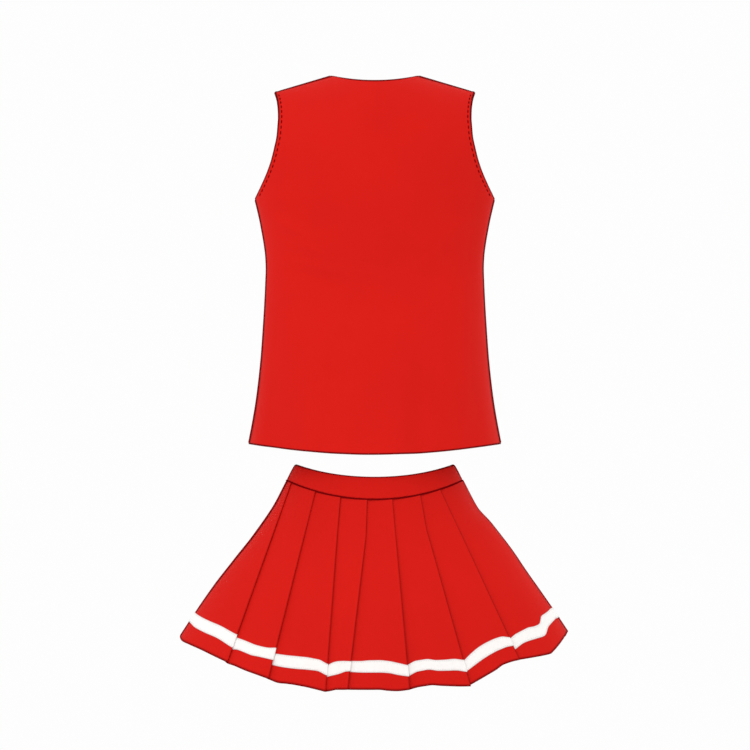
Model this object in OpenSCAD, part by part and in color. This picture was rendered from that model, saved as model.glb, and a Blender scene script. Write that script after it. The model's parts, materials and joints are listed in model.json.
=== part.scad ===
// Two-piece cheer uniform: a sleeveless shell top above a knife-pleated skirt with a side zip.
// Frame: +Z up, origin on the floor under the waist, -Y is the back of the uniform, +X its right side.
// All lengths are millimetres.

/* [Shell top] */
// Width across the shell at the underarm
chest_w = 384; // [370:2:400]
// Depth front to back at the chest
chest_d = 228; // [210:2:240]
// Height of the neck points above the floor
neck_z = 986; // [976:1:1000]
// Length from neck point down to the hem at the side seam
top_len = 589; // [580:1:595]
// How far the hem dips at centre back
hem_dip = 18.5; // [4:0.5:22]
// How much shorter the front is than the back at the hem's middle
front_lift = 4; // [0:0.5:4]
// Width of the neck opening
neck_w = 139.2; // [130:1:150]
// Drop of the back neckline below the neck points
back_drop = 8.6; // [4:0.2:20]
// Drop of the front neckline below the neck points
front_drop = 104; // [70:1:120]
// Fall of the shoulder seam per millimetre outward
shoulder_slope = 0.297; // [0.2:0.01:0.35]
// Thickness of the shell's knit fabric
fabric_t = 1.6; // [1.2:0.1:2]
// Distance of the stitch line from the armhole edge
stitch_inset = 5.6; // [4:0.2:8]

/* [Skirt] */
// Height of the skirt's cone tip above the floor
apex_z = 551.6; // [545:0.2:556]
// Slant distance from the cone tip to the hem
hem_slant = 550; // [540:1:560]
// Depth front to back at the waist
waist_d = 188; // [180:1:196]
// Depth front to back at the hem
hem_d = 340; // [300:2:360]
// Width of the pleat underlap at the hem
underlap_hem = 48; // [30:1:52]
// Width of the pleat underlap where the pleats are released
underlap_top = 14; // [8:1:18]
// Half height of a pleat's tilt at the hem
tilt_hem = 4.5; // [3.5:0.1:6]
// Half height of a pleat's tilt at the release line
tilt_top = 2.4; // [2.2:0.1:2.8]
// Thickness of one pleat layer
pleat_t = 1; // [0.8:0.1:1.2]

/* [Side zip] */
// Distance the slider runs
zip_travel = 44; // [30:1:44]
// Distance between teeth
tooth_pitch = 2.4; // [2:0.1:3]
// Length of the pull tab from the slider's centre
pull_len = 18.5; // [15:0.5:18.5]
// Radius of the eye in the pull tab
pull_eye_r = 1.5; // [1.2:0.1:1.6]

/* [Hanger loops] */
// Length of a hanger loop
loop_len = 60; // [40:1:80]
// Width of a hanger loop, outside
loop_w = 15; // [12:1:18]

/* [Hidden] */
red = [0.80, 0.06, 0.045];
deep_red = [0.42, 0.02, 0.02];
tooth_red = [0.75, 0.08, 0.07];
white = [0.95, 0.95, 0.94];
steel = [0.72, 0.72, 0.74];

PLEATS = ["pleat_01", "pleat_02", "pleat_03", "pleat_04", "pleat_05", "pleat_06",
  "pleat_07", "pleat_08", "pleat_09", "pleat_10", "pleat_11", "pleat_12",
  "pleat_13", "pleat_14", "pleat_15", "pleat_16"];
TRIMS = ["trim_01", "trim_02", "trim_03", "trim_04", "trim_05", "trim_06",
  "trim_07", "trim_08", "trim_09", "trim_10", "trim_11", "trim_12",
  "trim_13", "trim_14", "trim_15", "trim_16"];
OTHERS = ["shell_back_panel", "shell_front_panel", "neck_facing",
  "armhole_facing_left", "armhole_facing_right", "shell_hem_facing",
  "shoulder_tapes", "armhole_stitches", "size_label",
  "waistband_back", "waistband_front", "waistband_facing", "waistband_interfacing",
  "waist_seam_thread", "yoke_back", "yoke_front",
  "zip_tape_back", "zip_tape_front", "zip_teeth", "zip_top_stops", "zip_bottom_stop",
  "waist_hook", "waist_eye", "zip_slider", "zip_pull_tab",
  "hanger_loop_left", "hanger_loop_right"];

function mix(from, to, share) = from + (to - from) * share;
function steps(from, to, count) = [for (i = [0:count]) mix(from, to, i / count)];
function unit(vector) = vector / norm(vector);
// runs through three values, at shares 0, 0.5 and 1
function through_three(share, values) =
  lookup(share, [[0, values[0]], [0.5, values[1]], [1, values[2]]]);

// A closed sheet between the offsets inner and outer of place(across, up, out),
// over a grid of columns by rows. flip turns the faces over where the offset runs the other way.
module sheet(place, columns, rows, inner, outer, flip = false) {
  last_column = len(columns) - 1;
  last_row = len(rows) - 1;
  skin_size = len(columns) * len(rows);
  points = [for (out = [inner, outer]) for (across = columns) for (up = rows)
    place(across, up, out)];
  function id(skin, i, j) = skin * skin_size + i * len(rows) + j;
  function quad(a, b, c, d) = [[a, b, c], [a, c, d]];
  skins = [for (i = [0:last_column - 1]) for (j = [0:last_row - 1]) for (face = concat(
    quad(id(0, i, j), id(0, i + 1, j), id(0, i + 1, j + 1), id(0, i, j + 1)),
    quad(id(1, i, j), id(1, i, j + 1), id(1, i + 1, j + 1), id(1, i + 1, j)))) face];
  row_ends = [for (i = [0:last_column - 1]) for (face = concat(
    quad(id(0, i, 0), id(1, i, 0), id(1, i + 1, 0), id(0, i + 1, 0)),
    quad(id(0, i, last_row), id(0, i + 1, last_row),
      id(1, i + 1, last_row), id(1, i, last_row)))) face];
  column_ends = [for (j = [0:last_row - 1]) for (face = concat(
    quad(id(0, 0, j), id(0, 0, j + 1), id(1, 0, j + 1), id(1, 0, j)),
    quad(id(0, last_column, j), id(1, last_column, j),
      id(1, last_column, j + 1), id(0, last_column, j + 1)))) face];
  all_faces = concat(skins, row_ends, column_ends);
  polyhedron(points = points,
    faces = flip ? [for (face = all_faces) [face[2], face[1], face[0]]] : all_faces,
    convexity = 6);
}

// ---------- shell top ----------
// In this section side is -1 for the back and 1 for the front, hand is -1 for left and 1 for right.
underarm_share = 0.6655; // underarm height over the shell's length
tip_share = 0.8359;      // half width at the shoulder tips over half the chest width
// side outline: height share, half width over half the chest width
side_line = [[0, 1.052], [0.052, 1.0208], [0.117, 0.9875], [0.182, 0.9625], [0.247, 0.9432],
  [0.312, 0.9292], [0.378, 0.9167], [0.443, 0.9073], [0.475, 0.9042], [0.508, 0.9083],
  [0.541, 0.9208], [0.573, 0.9375], [0.606, 0.9568], [0.638, 0.9792], [underarm_share, 1],
  [0.7037, 0.9417], [0.7363, 0.8974], [0.769, 0.8625], [0.8015, 0.8375], [0.834, 0.8167],
  [0.8667, 0.8083], [0.8829, 0.8047], [0.8993, 0.8057], [0.9319, 0.8167], [0.9537, tip_share]];
// depth of the body form: height share, depth over half the chest depth
back_form = [[-0.04, 1.12], [0.09, 1.07], [0.28, 0.93], [0.45, 0.81], [0.58, 0.87],
  [0.68, 0.94], [0.79, 0.95], [0.89, 0.92], [1.05, 0.83]];
front_form = [[-0.04, 1.10], [0.09, 1.04], [0.28, 0.92], [0.45, 0.88], [0.55, 0.98],
  [0.62, 1.07], [0.68, 1.07], [0.79, 0.95], [0.89, 0.82], [1.05, 0.70]];
panel_gap = 0.4;       // between back and front panels
shoulder_round = 110;  // height over which the form closes to the shoulder seam
top_hem_z = neck_z - top_len;
underarm_z = mix(top_hem_z, neck_z, underarm_share);
tip_x = chest_w / 2 * tip_share;

function height_share(z) = (z - top_hem_z) / top_len;
function top_half(z) = lookup(height_share(z), side_line) * chest_w / 2;
function body_half(z) = height_share(z) < underarm_share ? top_half(z) : chest_w / 2;
function ridge_z(x) = neck_z - (abs(x) - neck_w / 2) * shoulder_slope;
tip_z = ridge_z(tip_x);
function rounding(share) = sqrt(max(0, 1 - pow(1 - min(max(share, 0), 1), 2)));
function form_depth(z, side) =
  lookup(height_share(z), side < 0 ? back_form : front_form) * chest_d / 2;
function top_y(x, z, side) = side * (panel_gap / 2 + form_depth(z, side)
  * sqrt(max(0, 1 - pow(x / body_half(z), 2)))
  * rounding((ridge_z(x) - z) / shoulder_round));
function neckline(x, side) = side < 0
  ? neck_z - back_drop * (1 - pow(2 * x / neck_w, 2))
  : neck_z - front_drop * (1 - pow(abs(2 * x / neck_w), 1.4));
function crown_z(x, side) = abs(x) >= neck_w / 2 ? ridge_z(x) : neckline(x, side);
function hem_z(across, side) =
  top_hem_z - (side < 0 ? hem_dip : hem_dip - front_lift) * (1 - across * across);
function on_top(x, z, side) = [x, top_y(x, z, side), z];
// outward normal, from differences kept within the form
function top_normal(x, z, side) = let (
    reach = 0.5,
    limit = body_half(z) - 0.01,
    x_low = max(x - reach, -limit),
    x_high = min(x + reach, limit),
    z_low = z - reach,
    z_high = min(z + reach, ridge_z(x)),
    along_x = on_top(x_high, z, side) - on_top(x_low, z, side),
    along_z = on_top(x, z_high, side) - on_top(x, z_low, side))
  unit(cross(along_x, along_z)) * -side;
function top_at(x, z, side, out) = on_top(x, z, side) + out * top_normal(x, z, side);

// half width of a panel at height z; at and above the shoulder tips it is that of the tips
function panel_half(z, up) =
  up == 1 ? tip_x : min(top_half(z), z > tip_z ? tip_x : 1e9);
function panel(side) = function (across, up, out)
  let (z = mix(hem_z(across, side), crown_z(across * tip_x, side), up))
  top_at(across * panel_half(z, up), z, side, out);

// columns bunch up towards the neck points and side seams, and rows towards the shoulder seams,
// where the shell turns fastest
neck_share = neck_w / 2 / tip_x;
underarm_row = top_len * underarm_share / (tip_z - top_hem_z);
neck_columns = [for (k = [-6:6]) neck_share * sign(k) * (1 - pow(1 - abs(k) / 7, 2))];
side_columns = [for (i = [0:7]) sin(mix(asin(neck_share), 90, i / 7))];
panel_columns = concat([for (i = [7:-1:0]) -side_columns[i]], neck_columns, side_columns);
upper_shares = [0.015, 0.045, 0.09, 0.16, 0.25, 0.36, 0.48, 0.6, 0.71, 0.82, 0.91, 0.975, 1];
panel_rows = concat(steps(0, underarm_row, 8),
  [for (share = upper_shares) mix(underarm_row, 1, share)]);

module shell_panel(side) {
  color(red) sheet(panel(side), panel_columns, panel_rows, -fabric_t, 0, side > 0);
}
module shell_back_panel() { shell_panel(-1); }
module shell_front_panel() { shell_panel(1); }

// facings lie inside the panels
facing_gap = 1;
facing_t = 0.8;
neck_edge = 2;          // neckline to the neck facing
neck_facing_w = 17.5;
armhole_edge = 1.5;     // armhole edge to its facing
armhole_facing_w = 8.5;
hem_edge = 1;           // hem to its facing
hem_facing_w = 18;

module facing(place, columns, rows, side) {
  outer = -fabric_t - facing_gap;
  color(red) sheet(place, columns, rows, outer - facing_t, outer, side > 0);
}
module neck_facing() {
  for (side = [-1, 1])
    facing(function (across, up, out) let (x = across * tip_x)
      top_at(x, neckline(x, side) - neck_edge - neck_facing_w * (1 - up), side, out),
      neck_columns, [0, 0.45, 0.8, 1], side);
}
module armhole_facing(hand) {
  columns = hand > 0 ? [0, 0.6, 0.9, 1] : [0, 0.1, 0.4, 1];
  for (side = [-1, 1])
    facing(function (across, up, out) let (
        z = mix(underarm_z + 5, tip_z - 3, up),
        inward = armhole_edge + armhole_facing_w * (hand > 0 ? 1 - across : across))
      top_at(hand * (top_half(z) - inward), z, side, out),
      columns, steps(0, 1, 14), side);
}
module armhole_facing_left() { armhole_facing(-1); }
module armhole_facing_right() { armhole_facing(1); }
module shell_hem_facing() {
  columns = [for (across = panel_columns) min(0.99, max(-0.99, across))];
  for (side = [-1, 1])
    facing(function (across, up, out)
      let (z = hem_z(across, side) + hem_edge + hem_facing_w * up)
      top_at(across * top_half(z), z, side, out),
      columns, [0, 1], side);
}

// flat tapes under the shoulder seams
shoulder_tape_inset = 8; // each end, from the neck point and from the shoulder tip
shoulder_tape_drop = 2.4;
module shoulder_tapes() {
  run = tip_x - neck_w / 2 - 2 * shoulder_tape_inset;
  middle_x = (neck_w / 2 + tip_x) / 2;
  color(red) for (hand = [-1, 1])
    translate([hand * middle_x, 0, ridge_z(middle_x) - fabric_t - shoulder_tape_drop])
      rotate([0, hand * atan(shoulder_slope), 0]) cube([run, 8, 0.8], center = true);
}

stitch_size = [5.3, 1.2, 0.9];
stitch_lift = 0.65; // shell to the middle of a stitch
// one thread bar lying on the shell, with its long side along the stitch line
module thread_bar(middle, along, normal) {
  side_way = cross(normal, along);
  multmatrix([
    [along.x, side_way.x, normal.x, middle.x],
    [along.y, side_way.y, normal.y, middle.y],
    [along.z, side_way.z, normal.z, middle.z],
    [0, 0, 0, 1]])
    translate([0, 0, stitch_lift]) cube(stitch_size, center = true);
}
module armhole_stitches() {
  function on_line(z, side, hand) = on_top(hand * (top_half(z) - stitch_inset), z, side);
  color(deep_red) for (side = [-1, 1]) for (hand = [-1, 1])
    for (z = steps(underarm_z + 9, tip_z - 6, 16)) {
      middle = on_line(z, side, hand);
      normal = top_normal(middle.x, z, side);
      ahead = unit(on_line(z + 1, side, hand) - middle);
      thread_bar(middle, unit(ahead - normal * (ahead * normal)), normal);
    }
}

label_size = [34, 0.8, 26];
module size_label() {
  color(white) translate([-label_size.x / 2, -61.4, neck_z - 40]) cube(label_size);
}

// ---------- skirt ----------
// Places on the skirt are an angle from centre back, positive towards the right side,
// and a slant distance from the cone tip. Each level has a slant at the middles and at the sides.
waist_slants = [208.8, 227];
seam_slants = [243.7, 254.4];
release_slants = [304, 305.6];
waist_side = waist_slants[1];
release_mid = release_slants[0];
release_side = release_slants[1];
// slant distance, sine of the half angle seen from the front
cone_sin = [[200, 0.575], [waist_side, 0.559], [seam_slants[1], 0.5497],
  [release_side, 0.5366], [356, 0.545], [410, 0.556], [460, 0.561], [510, 0.5615],
  [570, 0.5600]];
// slant distance, half depth front to back
half_depths = [[200, waist_d / 2 - 3], [waist_side, waist_d / 2],
  [release_side, waist_d / 2 + 14], [hem_slant, hem_d / 2], [hem_slant + 30, hem_d / 2 + 6]];

function slant_sin(slant) = lookup(slant, cone_sin);
function half_width(slant) = slant * slant_sin(slant);
function half_depth(slant) = lookup(slant, half_depths);
function skirt_point(angle, slant, out) = let (
    width = half_width(slant),
    depth = half_depth(slant),
    normal = unit([depth * sin(angle), -width * cos(angle)]))
  [width * sin(angle) + out * normal.x,
   -depth * cos(angle) + out * normal.y,
   apex_z - slant * sqrt(1 - pow(sin(angle) * slant_sin(slant), 2))];
function level(slants, angle) = mix(slants[0], slants[1], pow(sin(angle), 2));
function waist_at(angle) = level(waist_slants, angle);
function seam_at(angle) = level(seam_slants, angle);
function release_at(angle) = level(release_slants, angle);
// millimetres round the skirt per degree of angle
function arc_rate(angle, slant) =
  norm([half_width(slant) * cos(angle), half_depth(slant) * sin(angle)]) * PI / 180;

left_gap = 0.2;  // degrees from the left side line to a panel end
zip_gap = 3.8;   // degrees from the zip line to a panel end
back_angles = steps(-90 + left_gap, 90 - zip_gap, 22);
front_angles = steps(90 + zip_gap, 270 - left_gap, 22);
round_angles = concat(front_angles, [for (angle = back_angles) angle + 360]);
lined_angles = [for (i = [1:len(round_angles) - 2]) round_angles[i]];

// a band from short of the waist seam up to the waist edge, lowered by top_inset
module band(angles, seam_inset, top_inset, inner, outer) {
  sheet(function (angle, up, out)
    skirt_point(angle, mix(seam_at(angle) - seam_inset, waist_at(angle) + top_inset, up), out),
    angles, [0, 1], inner, outer);
}
module waistband_back() { color(red) band(back_angles, 0.5, 0, -1, 0); }
module waistband_front() { color(red) band(front_angles, 0.5, 0, -1, 0); }
module waistband_interfacing() { color(white) band(lined_angles, 2, 2, -2, -1.2); }
module waistband_facing() { color(red) band(lined_angles, 0.5, 0.3, -3, -2.2); }

thread_w = 1.2;
module waist_seam_thread() {
  color(deep_red) sheet(function (angle, up, out)
    skirt_point(angle, seam_at(angle) + thread_w / 2 - thread_w * up, out),
    round_angles, [0, 1], 0.3, 1);
}

// plain panels between the waist seam and the release line
yoke_t = 2.4;
module yoke(angles) {
  color(red) sheet(function (angle, up, out)
    skirt_point(angle, mix(release_at(angle), seam_at(angle) + 0.5, up), out),
    angles, [0, 1], -yoke_t, 0);
}
module yoke_back() { yoke(back_angles); }
module yoke_front() { yoke(front_angles); }

// ---------- pleats ----------
// The 16 pleats run from the left side over the back to the right side and round the front.
// Each comes out from under the pleat before it and ends in a fold over the next one.
// angles of the fold lines at the release line and at the hem
line_top = [-93, -66.5, -41.2, -21.2, -4.8, 11.9, 30.5, 50.9, 80,
  109, 135, 157, 177, 197, 218, 242, 267];
line_hem = [-95, -48.8, -32.8, -14.5, -8, 10.4, 28.9, 48.2, 80,
  113, 139, 160, 179, 198, 219, 244, 265];
// The next three tables have a row for each pleat: near its hidden edge, at its middle, at its fold.
// hem past the plain hem
hem_add = [[3, 8.8, 4.5], [7, 5, 5.5], [5.5, 3.5, 5.5], [4, 4.5, -2],
  [-2, -3, -0.5], [-0.5, -0.5, 11.5], [11, 1, -1.5], [-0.5, 12.5, -1],
  [3, -4, -3], [-3, -7, -3], [-3, -7, -3], [-3, -7, -3],
  [-3, -7, -3], [-3, -7, -3], [-3, -6, 0], [0, -1, -4.6]];
// top of the white trim, short of the plain hem
trim_top = [[39, 39, 39.5], [32, 38.5, 44], [34, 43, 38.5], [34.5, 41.5, 46.5],
  [46.5, 49.5, 39.5], [38.5, 42, 33], [29, 44.5, 39], [36.5, 34.5, 48.5],
  [46, 46, 42], [44, 46, 42], [44, 46, 42], [44, 46, 42],
  [44, 46, 42], [44, 46, 42], [44, 46, 42], [44, 42, 39]];
// bottom of the white trim, short of the plain hem
trim_bottom = [[19.5, 18.4, 18.5], [12, 18.5, 24.5], [15, 19.5, 20], [15, 20, 29.5],
  [30, 29.5, 21.5], [21, 24, 10.5], [11, 23.5, 22], [16.5, 14.5, 28],
  [26, 26, 22], [24, 26, 22], [24, 26, 22], [24, 26, 22],
  [24, 26, 22], [24, 26, 22], [24, 26, 22], [24, 21, 18.5]];
fold_gap = 0.15;    // degrees from a fold to its fold line
hidden_share = 0.3; // share of a pleat's width before the tables start to run
pleat_start = 3;    // slant distance from the release line to the pleats

function fall(slant) = (slant - release_mid) / (hem_slant - release_mid);
// lines 1 to 7, on the back, keep to an even run in x; the others to an even run in angle
function fold_line(i, slant) = (i >= 1 && i <= 7)
  ? asin(mix(half_width(release_mid) * sin(line_top[i]),
      half_width(hem_slant) * sin(line_hem[i]), fall(slant)) / half_width(slant))
  : mix(line_top[i], line_hem[i], fall(slant));
function hidden_edge(i, slant) = let (line = fold_line(i, slant))
  line - mix(underlap_top, underlap_hem, fall(slant)) / arc_rate(line, slant);
function tilt(slant) = mix(tilt_top, tilt_hem, min(1, max(0, fall(slant)) * 1.6));
function pleat_point(i, across, slant, out) = skirt_point(
  mix(hidden_edge(i, slant), fold_line(i + 1, slant) - fold_gap, across),
  slant, tilt(slant) * (2 * across - 1) + out);
function face_value(across, values) =
  through_three(min(1, max(0, (across - hidden_share) / (1 - hidden_share))), values);

module pleat(i) {
  color(red) sheet(function (across, up, out) let (
      top = release_at(mix(line_top[i], line_top[i + 1], across)) + pleat_start,
      bottom = hem_slant + face_value(across, hem_add[i]))
    pleat_point(i, across, mix(bottom, top, up), out),
    steps(0, 1, 6), [0, 0.33, 0.66, 1], -pleat_t, 0);
}
module trim(i) {
  color(white) sheet(function (across, up, out) let (
      bottom = hem_slant - face_value(across, trim_bottom[i]),
      top = hem_slant - face_value(across, trim_top[i]))
    pleat_point(i, across, mix(bottom, top, up), out),
    concat([0.02], steps(1 / 6, 5 / 6, 4), [0.985]), [0, 1], 0.2, 0.7);
}

// ---------- side zip ----------
// Its own frame: x down the zip, y across it towards the front, z outward.
// s is -1 for the back half and 1 for the front half.
zip_top = skirt_point(90, waist_side, 0);
zip_end = skirt_point(90, release_side, 0);
zip_lean = atan2(zip_top.z - zip_end.z, zip_end.x - zip_top.x);
slider_x = 14.5;
chain_start = 8.5;
chain_end = slider_x + zip_travel + 6.2;
tape_y = 1.2; // centre line to the tape's edge
tape_z = -5.2;
tape_w = 11.8;
tape_t = 0.6;
module at_zip() { translate(zip_top) rotate([0, zip_lean, 0]) children(); }

module tape(s) {
  color(red) at_zip() translate([5.7, s > 0 ? tape_y : -tape_y - tape_w, tape_z])
    cube([chain_end + 1.3, tape_w, tape_t]);
}
module zip_tape_back() { tape(-1); }
module zip_tape_front() { tape(1); }

// teeth and stops are slotted to clear the tape
tooth_size = [1.1, 2.6, 2];
tooth_y = 0.6;
tooth_z = -5.9;
tooth_clearance = 0.04;
stop_clearance = 0.06;
module zip_teeth() {
  color(tooth_red) at_zip() for (s = [-1, 1])
    for (x = [chain_start + 1.2:tooth_pitch:chain_end - 1.6])
      translate([x + (s > 0 ? tooth_pitch / 2 : 0) - 0.6,
          s > 0 ? tooth_y : -tooth_y - tooth_size.y, tooth_z])
        difference() {
          cube(tooth_size);
          translate([-1, s > 0 ? 0.58 : -3, tape_z - tooth_clearance - tooth_z])
            cube([4, 5, tape_t + 2 * tooth_clearance]);
        }
}
module stop_slot(x, y, length, width) {
  translate([x, y, tape_z - stop_clearance])
    cube([length, width, tape_t + 2 * stop_clearance]);
}
module zip_top_stops() {
  color(steel) at_zip() for (s = [-1, 1]) difference() {
    translate([chain_start - 2, s > 0 ? 0.8 : -2.8, -6]) cube([2, 2, 2.2]);
    stop_slot(chain_start - 3, s > 0 ? 1.1 : -6.1, 4, 5);
  }
}
module zip_bottom_stop() {
  color(steel) at_zip() difference() {
    translate([chain_end - 0.4, -3, -6.1]) cube([2.2, 6, 2.4]);
    for (y = [-7, 1.1]) stop_slot(chain_end - 1, y, 5, 5.9);
  }
}

slider_half = 5.5; // half length
slider_w = 9.4;
flange_w = 1;
bridge_start = -1.6; // upper post of the bridge
bridge_end = 2.4;    // lower post
bridge_post = 0.9;
bridge_w = 2;
module zip_slider() {
  color(steel) at_zip() translate([slider_x, 0, 0]) difference() {
    union() {
      // outer and inner plates, and the post between them at the upper end
      for (z = [-3.6, -7.2])
        translate([-slider_half, -slider_w / 2, z]) cube([2 * slider_half, slider_w, 1]);
      translate([-slider_half, -0.4, -6.4]) cube([4, 0.8, 3]);
      // flanges along both edges of each plate
      for (s = [-1, 1]) for (z = [-4.3, -6.4])
        translate([-slider_half, s > 0 ? slider_w / 2 - flange_w : -slider_w / 2, z])
          cube([2 * slider_half, flange_w, 0.9]);
      // bridge that holds the pull tab
      for (x = [bridge_start, bridge_end])
        translate([x, -bridge_w / 2, -2.8]) cube([bridge_post, bridge_w, 2.3]);
      translate([bridge_start, -bridge_w / 2, -0.9])
        cube([bridge_end + bridge_post - bridge_start, bridge_w, 0.7]);
    }
    // hollowed corners at the lower end
    for (s = [-1, 1])
      translate([slider_half, s * 6.6, -8]) cylinder(r = 3.2, h = 8, $fn = 48);
  }
}

pull_w = 4.4;
pull_t = 1;
pull_arm_w = 0.9;
pull_plate_x = 4.6;
pull_end_r = 3;
pull_bar_x = (bridge_start + bridge_end + bridge_post) / 2;
module zip_pull_tab() {
  color(steel) at_zip() translate([slider_x, 0, -1.75]) difference() {
    union() {
      // bar through the bridge, then two arms, the plate and its round end
      translate([pull_bar_x, 0, 0]) rotate([90, 0, 0])
        cylinder(r = pull_t / 2, h = pull_w, center = true, $fn = 32);
      for (s = [-1, 1])
        translate([pull_bar_x, s > 0 ? pull_w / 2 - pull_arm_w : -pull_w / 2, -pull_t / 2])
          cube([4.15, pull_arm_w, pull_t]);
      translate([pull_plate_x, -pull_w / 2, -pull_t / 2])
        cube([pull_len - pull_plate_x - pull_end_r, pull_w, pull_t]);
      translate([pull_len - pull_end_r, 0, -pull_t / 2])
        cylinder(r = pull_end_r, h = pull_t, $fn = 48);
    }
    translate([pull_len - pull_end_r, 0, -2]) cylinder(r = pull_eye_r, h = 4, $fn = 48);
  }
}

// hook on the back half and eye on the front half, both bent from wire
wire_r = 0.45;
hook_x = 3;
hook_y = 1.2;
hook_z = -4.3;
hook_bend_r = 1.1;
hook_shank = 11; // shank's reach behind the centre line
hook_tip = 3.2;  // tip's reach behind the centre line
module wire_rod(length) { rotate([-90, 0, 0]) cylinder(r = wire_r, h = length, $fn = 24); }
module wire_section(bend_r) { translate([bend_r, 0]) circle(r = wire_r, $fn = 24); }
module waist_eye() {
  color(steel) at_zip() translate([hook_x, hook_y, hook_z]) {
    rotate_extrude($fn = 48) wire_section(2);
    for (s = [-1, 1]) translate([s * 1.3, 1.5, 0]) wire_rod(8.5);
  }
}
module waist_hook() {
  color(steel) at_zip() translate([hook_x, 0, 0]) {
    translate([0, -hook_shank, hook_z - hook_bend_r]) wire_rod(hook_shank + hook_y);
    translate([0, hook_y, hook_z]) rotate([90, 0, 90])
      rotate_extrude(angle = 180, start = -90, $fn = 48) wire_section(hook_bend_r);
    translate([0, -hook_tip, hook_z + hook_bend_r]) wire_rod(hook_tip + hook_y);
  }
}

// ---------- hanger loops ----------
loop_angle = 108;
loop_strap = 4; // width of the loop's strap
loop_t = 0.8;
// strip hanging from top_inset below the waist edge, with a round lower end
module tongue(width, top_inset) {
  round_y = -loop_len + loop_w / 2;
  translate([-width / 2, round_y]) square([width, -round_y - top_inset]);
  translate([0, round_y]) circle(r = width / 2, $fn = 48);
}
module hanger_loop(hand) {
  turn = atan2(half_depth(waist_side) * sin(loop_angle),
    hand * half_width(waist_side) * cos(loop_angle));
  color(white) translate(skirt_point(hand * loop_angle, waist_at(loop_angle) + 2, -5.6))
    rotate([0, 0, turn]) rotate([90, 0, 0]) translate([0, 0, -loop_t / 2])
      linear_extrude(loop_t) difference() {
        union() tongue(loop_w, 0);
        union() tongue(loop_w - 2 * loop_strap, loop_strap);
      }
}
module hanger_loop_left() { hanger_loop(-1); }
module hanger_loop_right() { hanger_loop(1); }

shell_back_panel();
shell_front_panel();
neck_facing();
armhole_facing_left();
armhole_facing_right();
shell_hem_facing();
shoulder_tapes();
armhole_stitches();
size_label();
waistband_back();
waistband_front();
waistband_facing();
waistband_interfacing();
waist_seam_thread();
yoke_back();
yoke_front();
zip_tape_back();
zip_tape_front();
zip_teeth();
zip_top_stops();
zip_bottom_stop();
waist_hook();
waist_eye();
zip_slider();
zip_pull_tab();
hanger_loop_left();
hanger_loop_right();
for (i = [0:15]) pleat(i);
for (i = [0:15]) trim(i);
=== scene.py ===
"""A red double-knit set: a sleeveless shell top above a skirt of sixteen trimmed pleats.

+Z is up. The back faces -Y and +X is the wearer's right, where the skirt's zip is.
Lengths are millimetres, and make_mesh turns them into metres. Lights and camera are in metres.
"""
import json
import math
import bmesh
import bpy
import numpy as np
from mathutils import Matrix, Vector


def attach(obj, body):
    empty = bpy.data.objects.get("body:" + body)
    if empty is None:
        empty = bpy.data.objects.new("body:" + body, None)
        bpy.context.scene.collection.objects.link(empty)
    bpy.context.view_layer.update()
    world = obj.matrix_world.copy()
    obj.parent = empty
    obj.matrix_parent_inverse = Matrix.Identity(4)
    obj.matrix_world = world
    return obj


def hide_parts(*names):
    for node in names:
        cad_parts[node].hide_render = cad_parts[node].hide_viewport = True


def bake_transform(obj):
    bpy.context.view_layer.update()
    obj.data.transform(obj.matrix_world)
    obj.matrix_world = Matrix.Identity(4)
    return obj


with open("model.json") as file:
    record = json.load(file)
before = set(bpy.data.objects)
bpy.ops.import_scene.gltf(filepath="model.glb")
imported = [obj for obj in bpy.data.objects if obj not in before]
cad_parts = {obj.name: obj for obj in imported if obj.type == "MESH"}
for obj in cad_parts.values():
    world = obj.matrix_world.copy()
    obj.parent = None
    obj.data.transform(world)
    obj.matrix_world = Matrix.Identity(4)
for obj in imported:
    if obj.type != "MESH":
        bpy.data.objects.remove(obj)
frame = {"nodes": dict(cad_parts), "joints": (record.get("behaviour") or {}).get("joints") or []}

rng = np.random.default_rng(11)
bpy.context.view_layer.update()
DEG = math.pi / 180.0
UP = np.array([0.0, 0.0, 1.0])
SCENE = bpy.context.scene
BACK_FRONT = ((-1, "back"), (1, "front"))     # sign of y
LEFT_RIGHT = ((-1, "left"), (1, "right"))     # sign of x


# ------------------------------------------------------------------ curves and vectors
def curve(table):
    """Smooth monotone curve through (x, y) points, held level beyond its ends."""
    x, y = np.array(table, float).T
    step = np.diff(x)
    rise = np.diff(y) / step
    slope = np.zeros_like(x)
    slope[0], slope[-1] = rise[0], rise[-1]
    for k in range(1, len(x) - 1):
        if rise[k - 1] * rise[k] > 0:
            w1 = 2 * step[k] + step[k - 1]
            w2 = step[k] + 2 * step[k - 1]
            slope[k] = (w1 + w2) / (w1 / rise[k - 1] + w2 / rise[k])

    def value(at):
        at = np.clip(np.asarray(at, float), x[0], x[-1])
        k = np.clip(np.searchsorted(x, at) - 1, 0, len(x) - 2)
        t = (at - x[k]) / step[k]
        return ((2 * t**3 - 3 * t**2 + 1) * y[k] + (t**3 - 2 * t**2 + t) * step[k] * slope[k]
                + (-2 * t**3 + 3 * t**2) * y[k + 1] + (t**3 - t**2) * step[k] * slope[k + 1])
    return value


def share_curve(row):
    """Curve over 0 to 1, from (share, value) pairs or from evenly spaced values."""
    if isinstance(row[0], tuple):
        return curve(row)
    return curve([(k / (len(row) - 1), value) for k, value in enumerate(row)])


def mix(a, b, t):
    return a + (b - a) * t


def smooth_step(start, end, x):
    t = np.clip((np.asarray(x, float) - start) / (end - start), 0, 1)
    return t * t * (3 - 2 * t)


def unit(v):
    return v / np.maximum(np.linalg.norm(v, axis=-1, keepdims=True), 1e-12)


def grid(first, second):
    return np.meshgrid(first, second, indexing="ij")


def run_length(points):
    """Distance travelled along the first axis."""
    steps = np.linalg.norm(np.diff(points, axis=0), axis=-1)
    return np.concatenate([np.zeros_like(steps[:1]), np.cumsum(steps, axis=0)])


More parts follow.
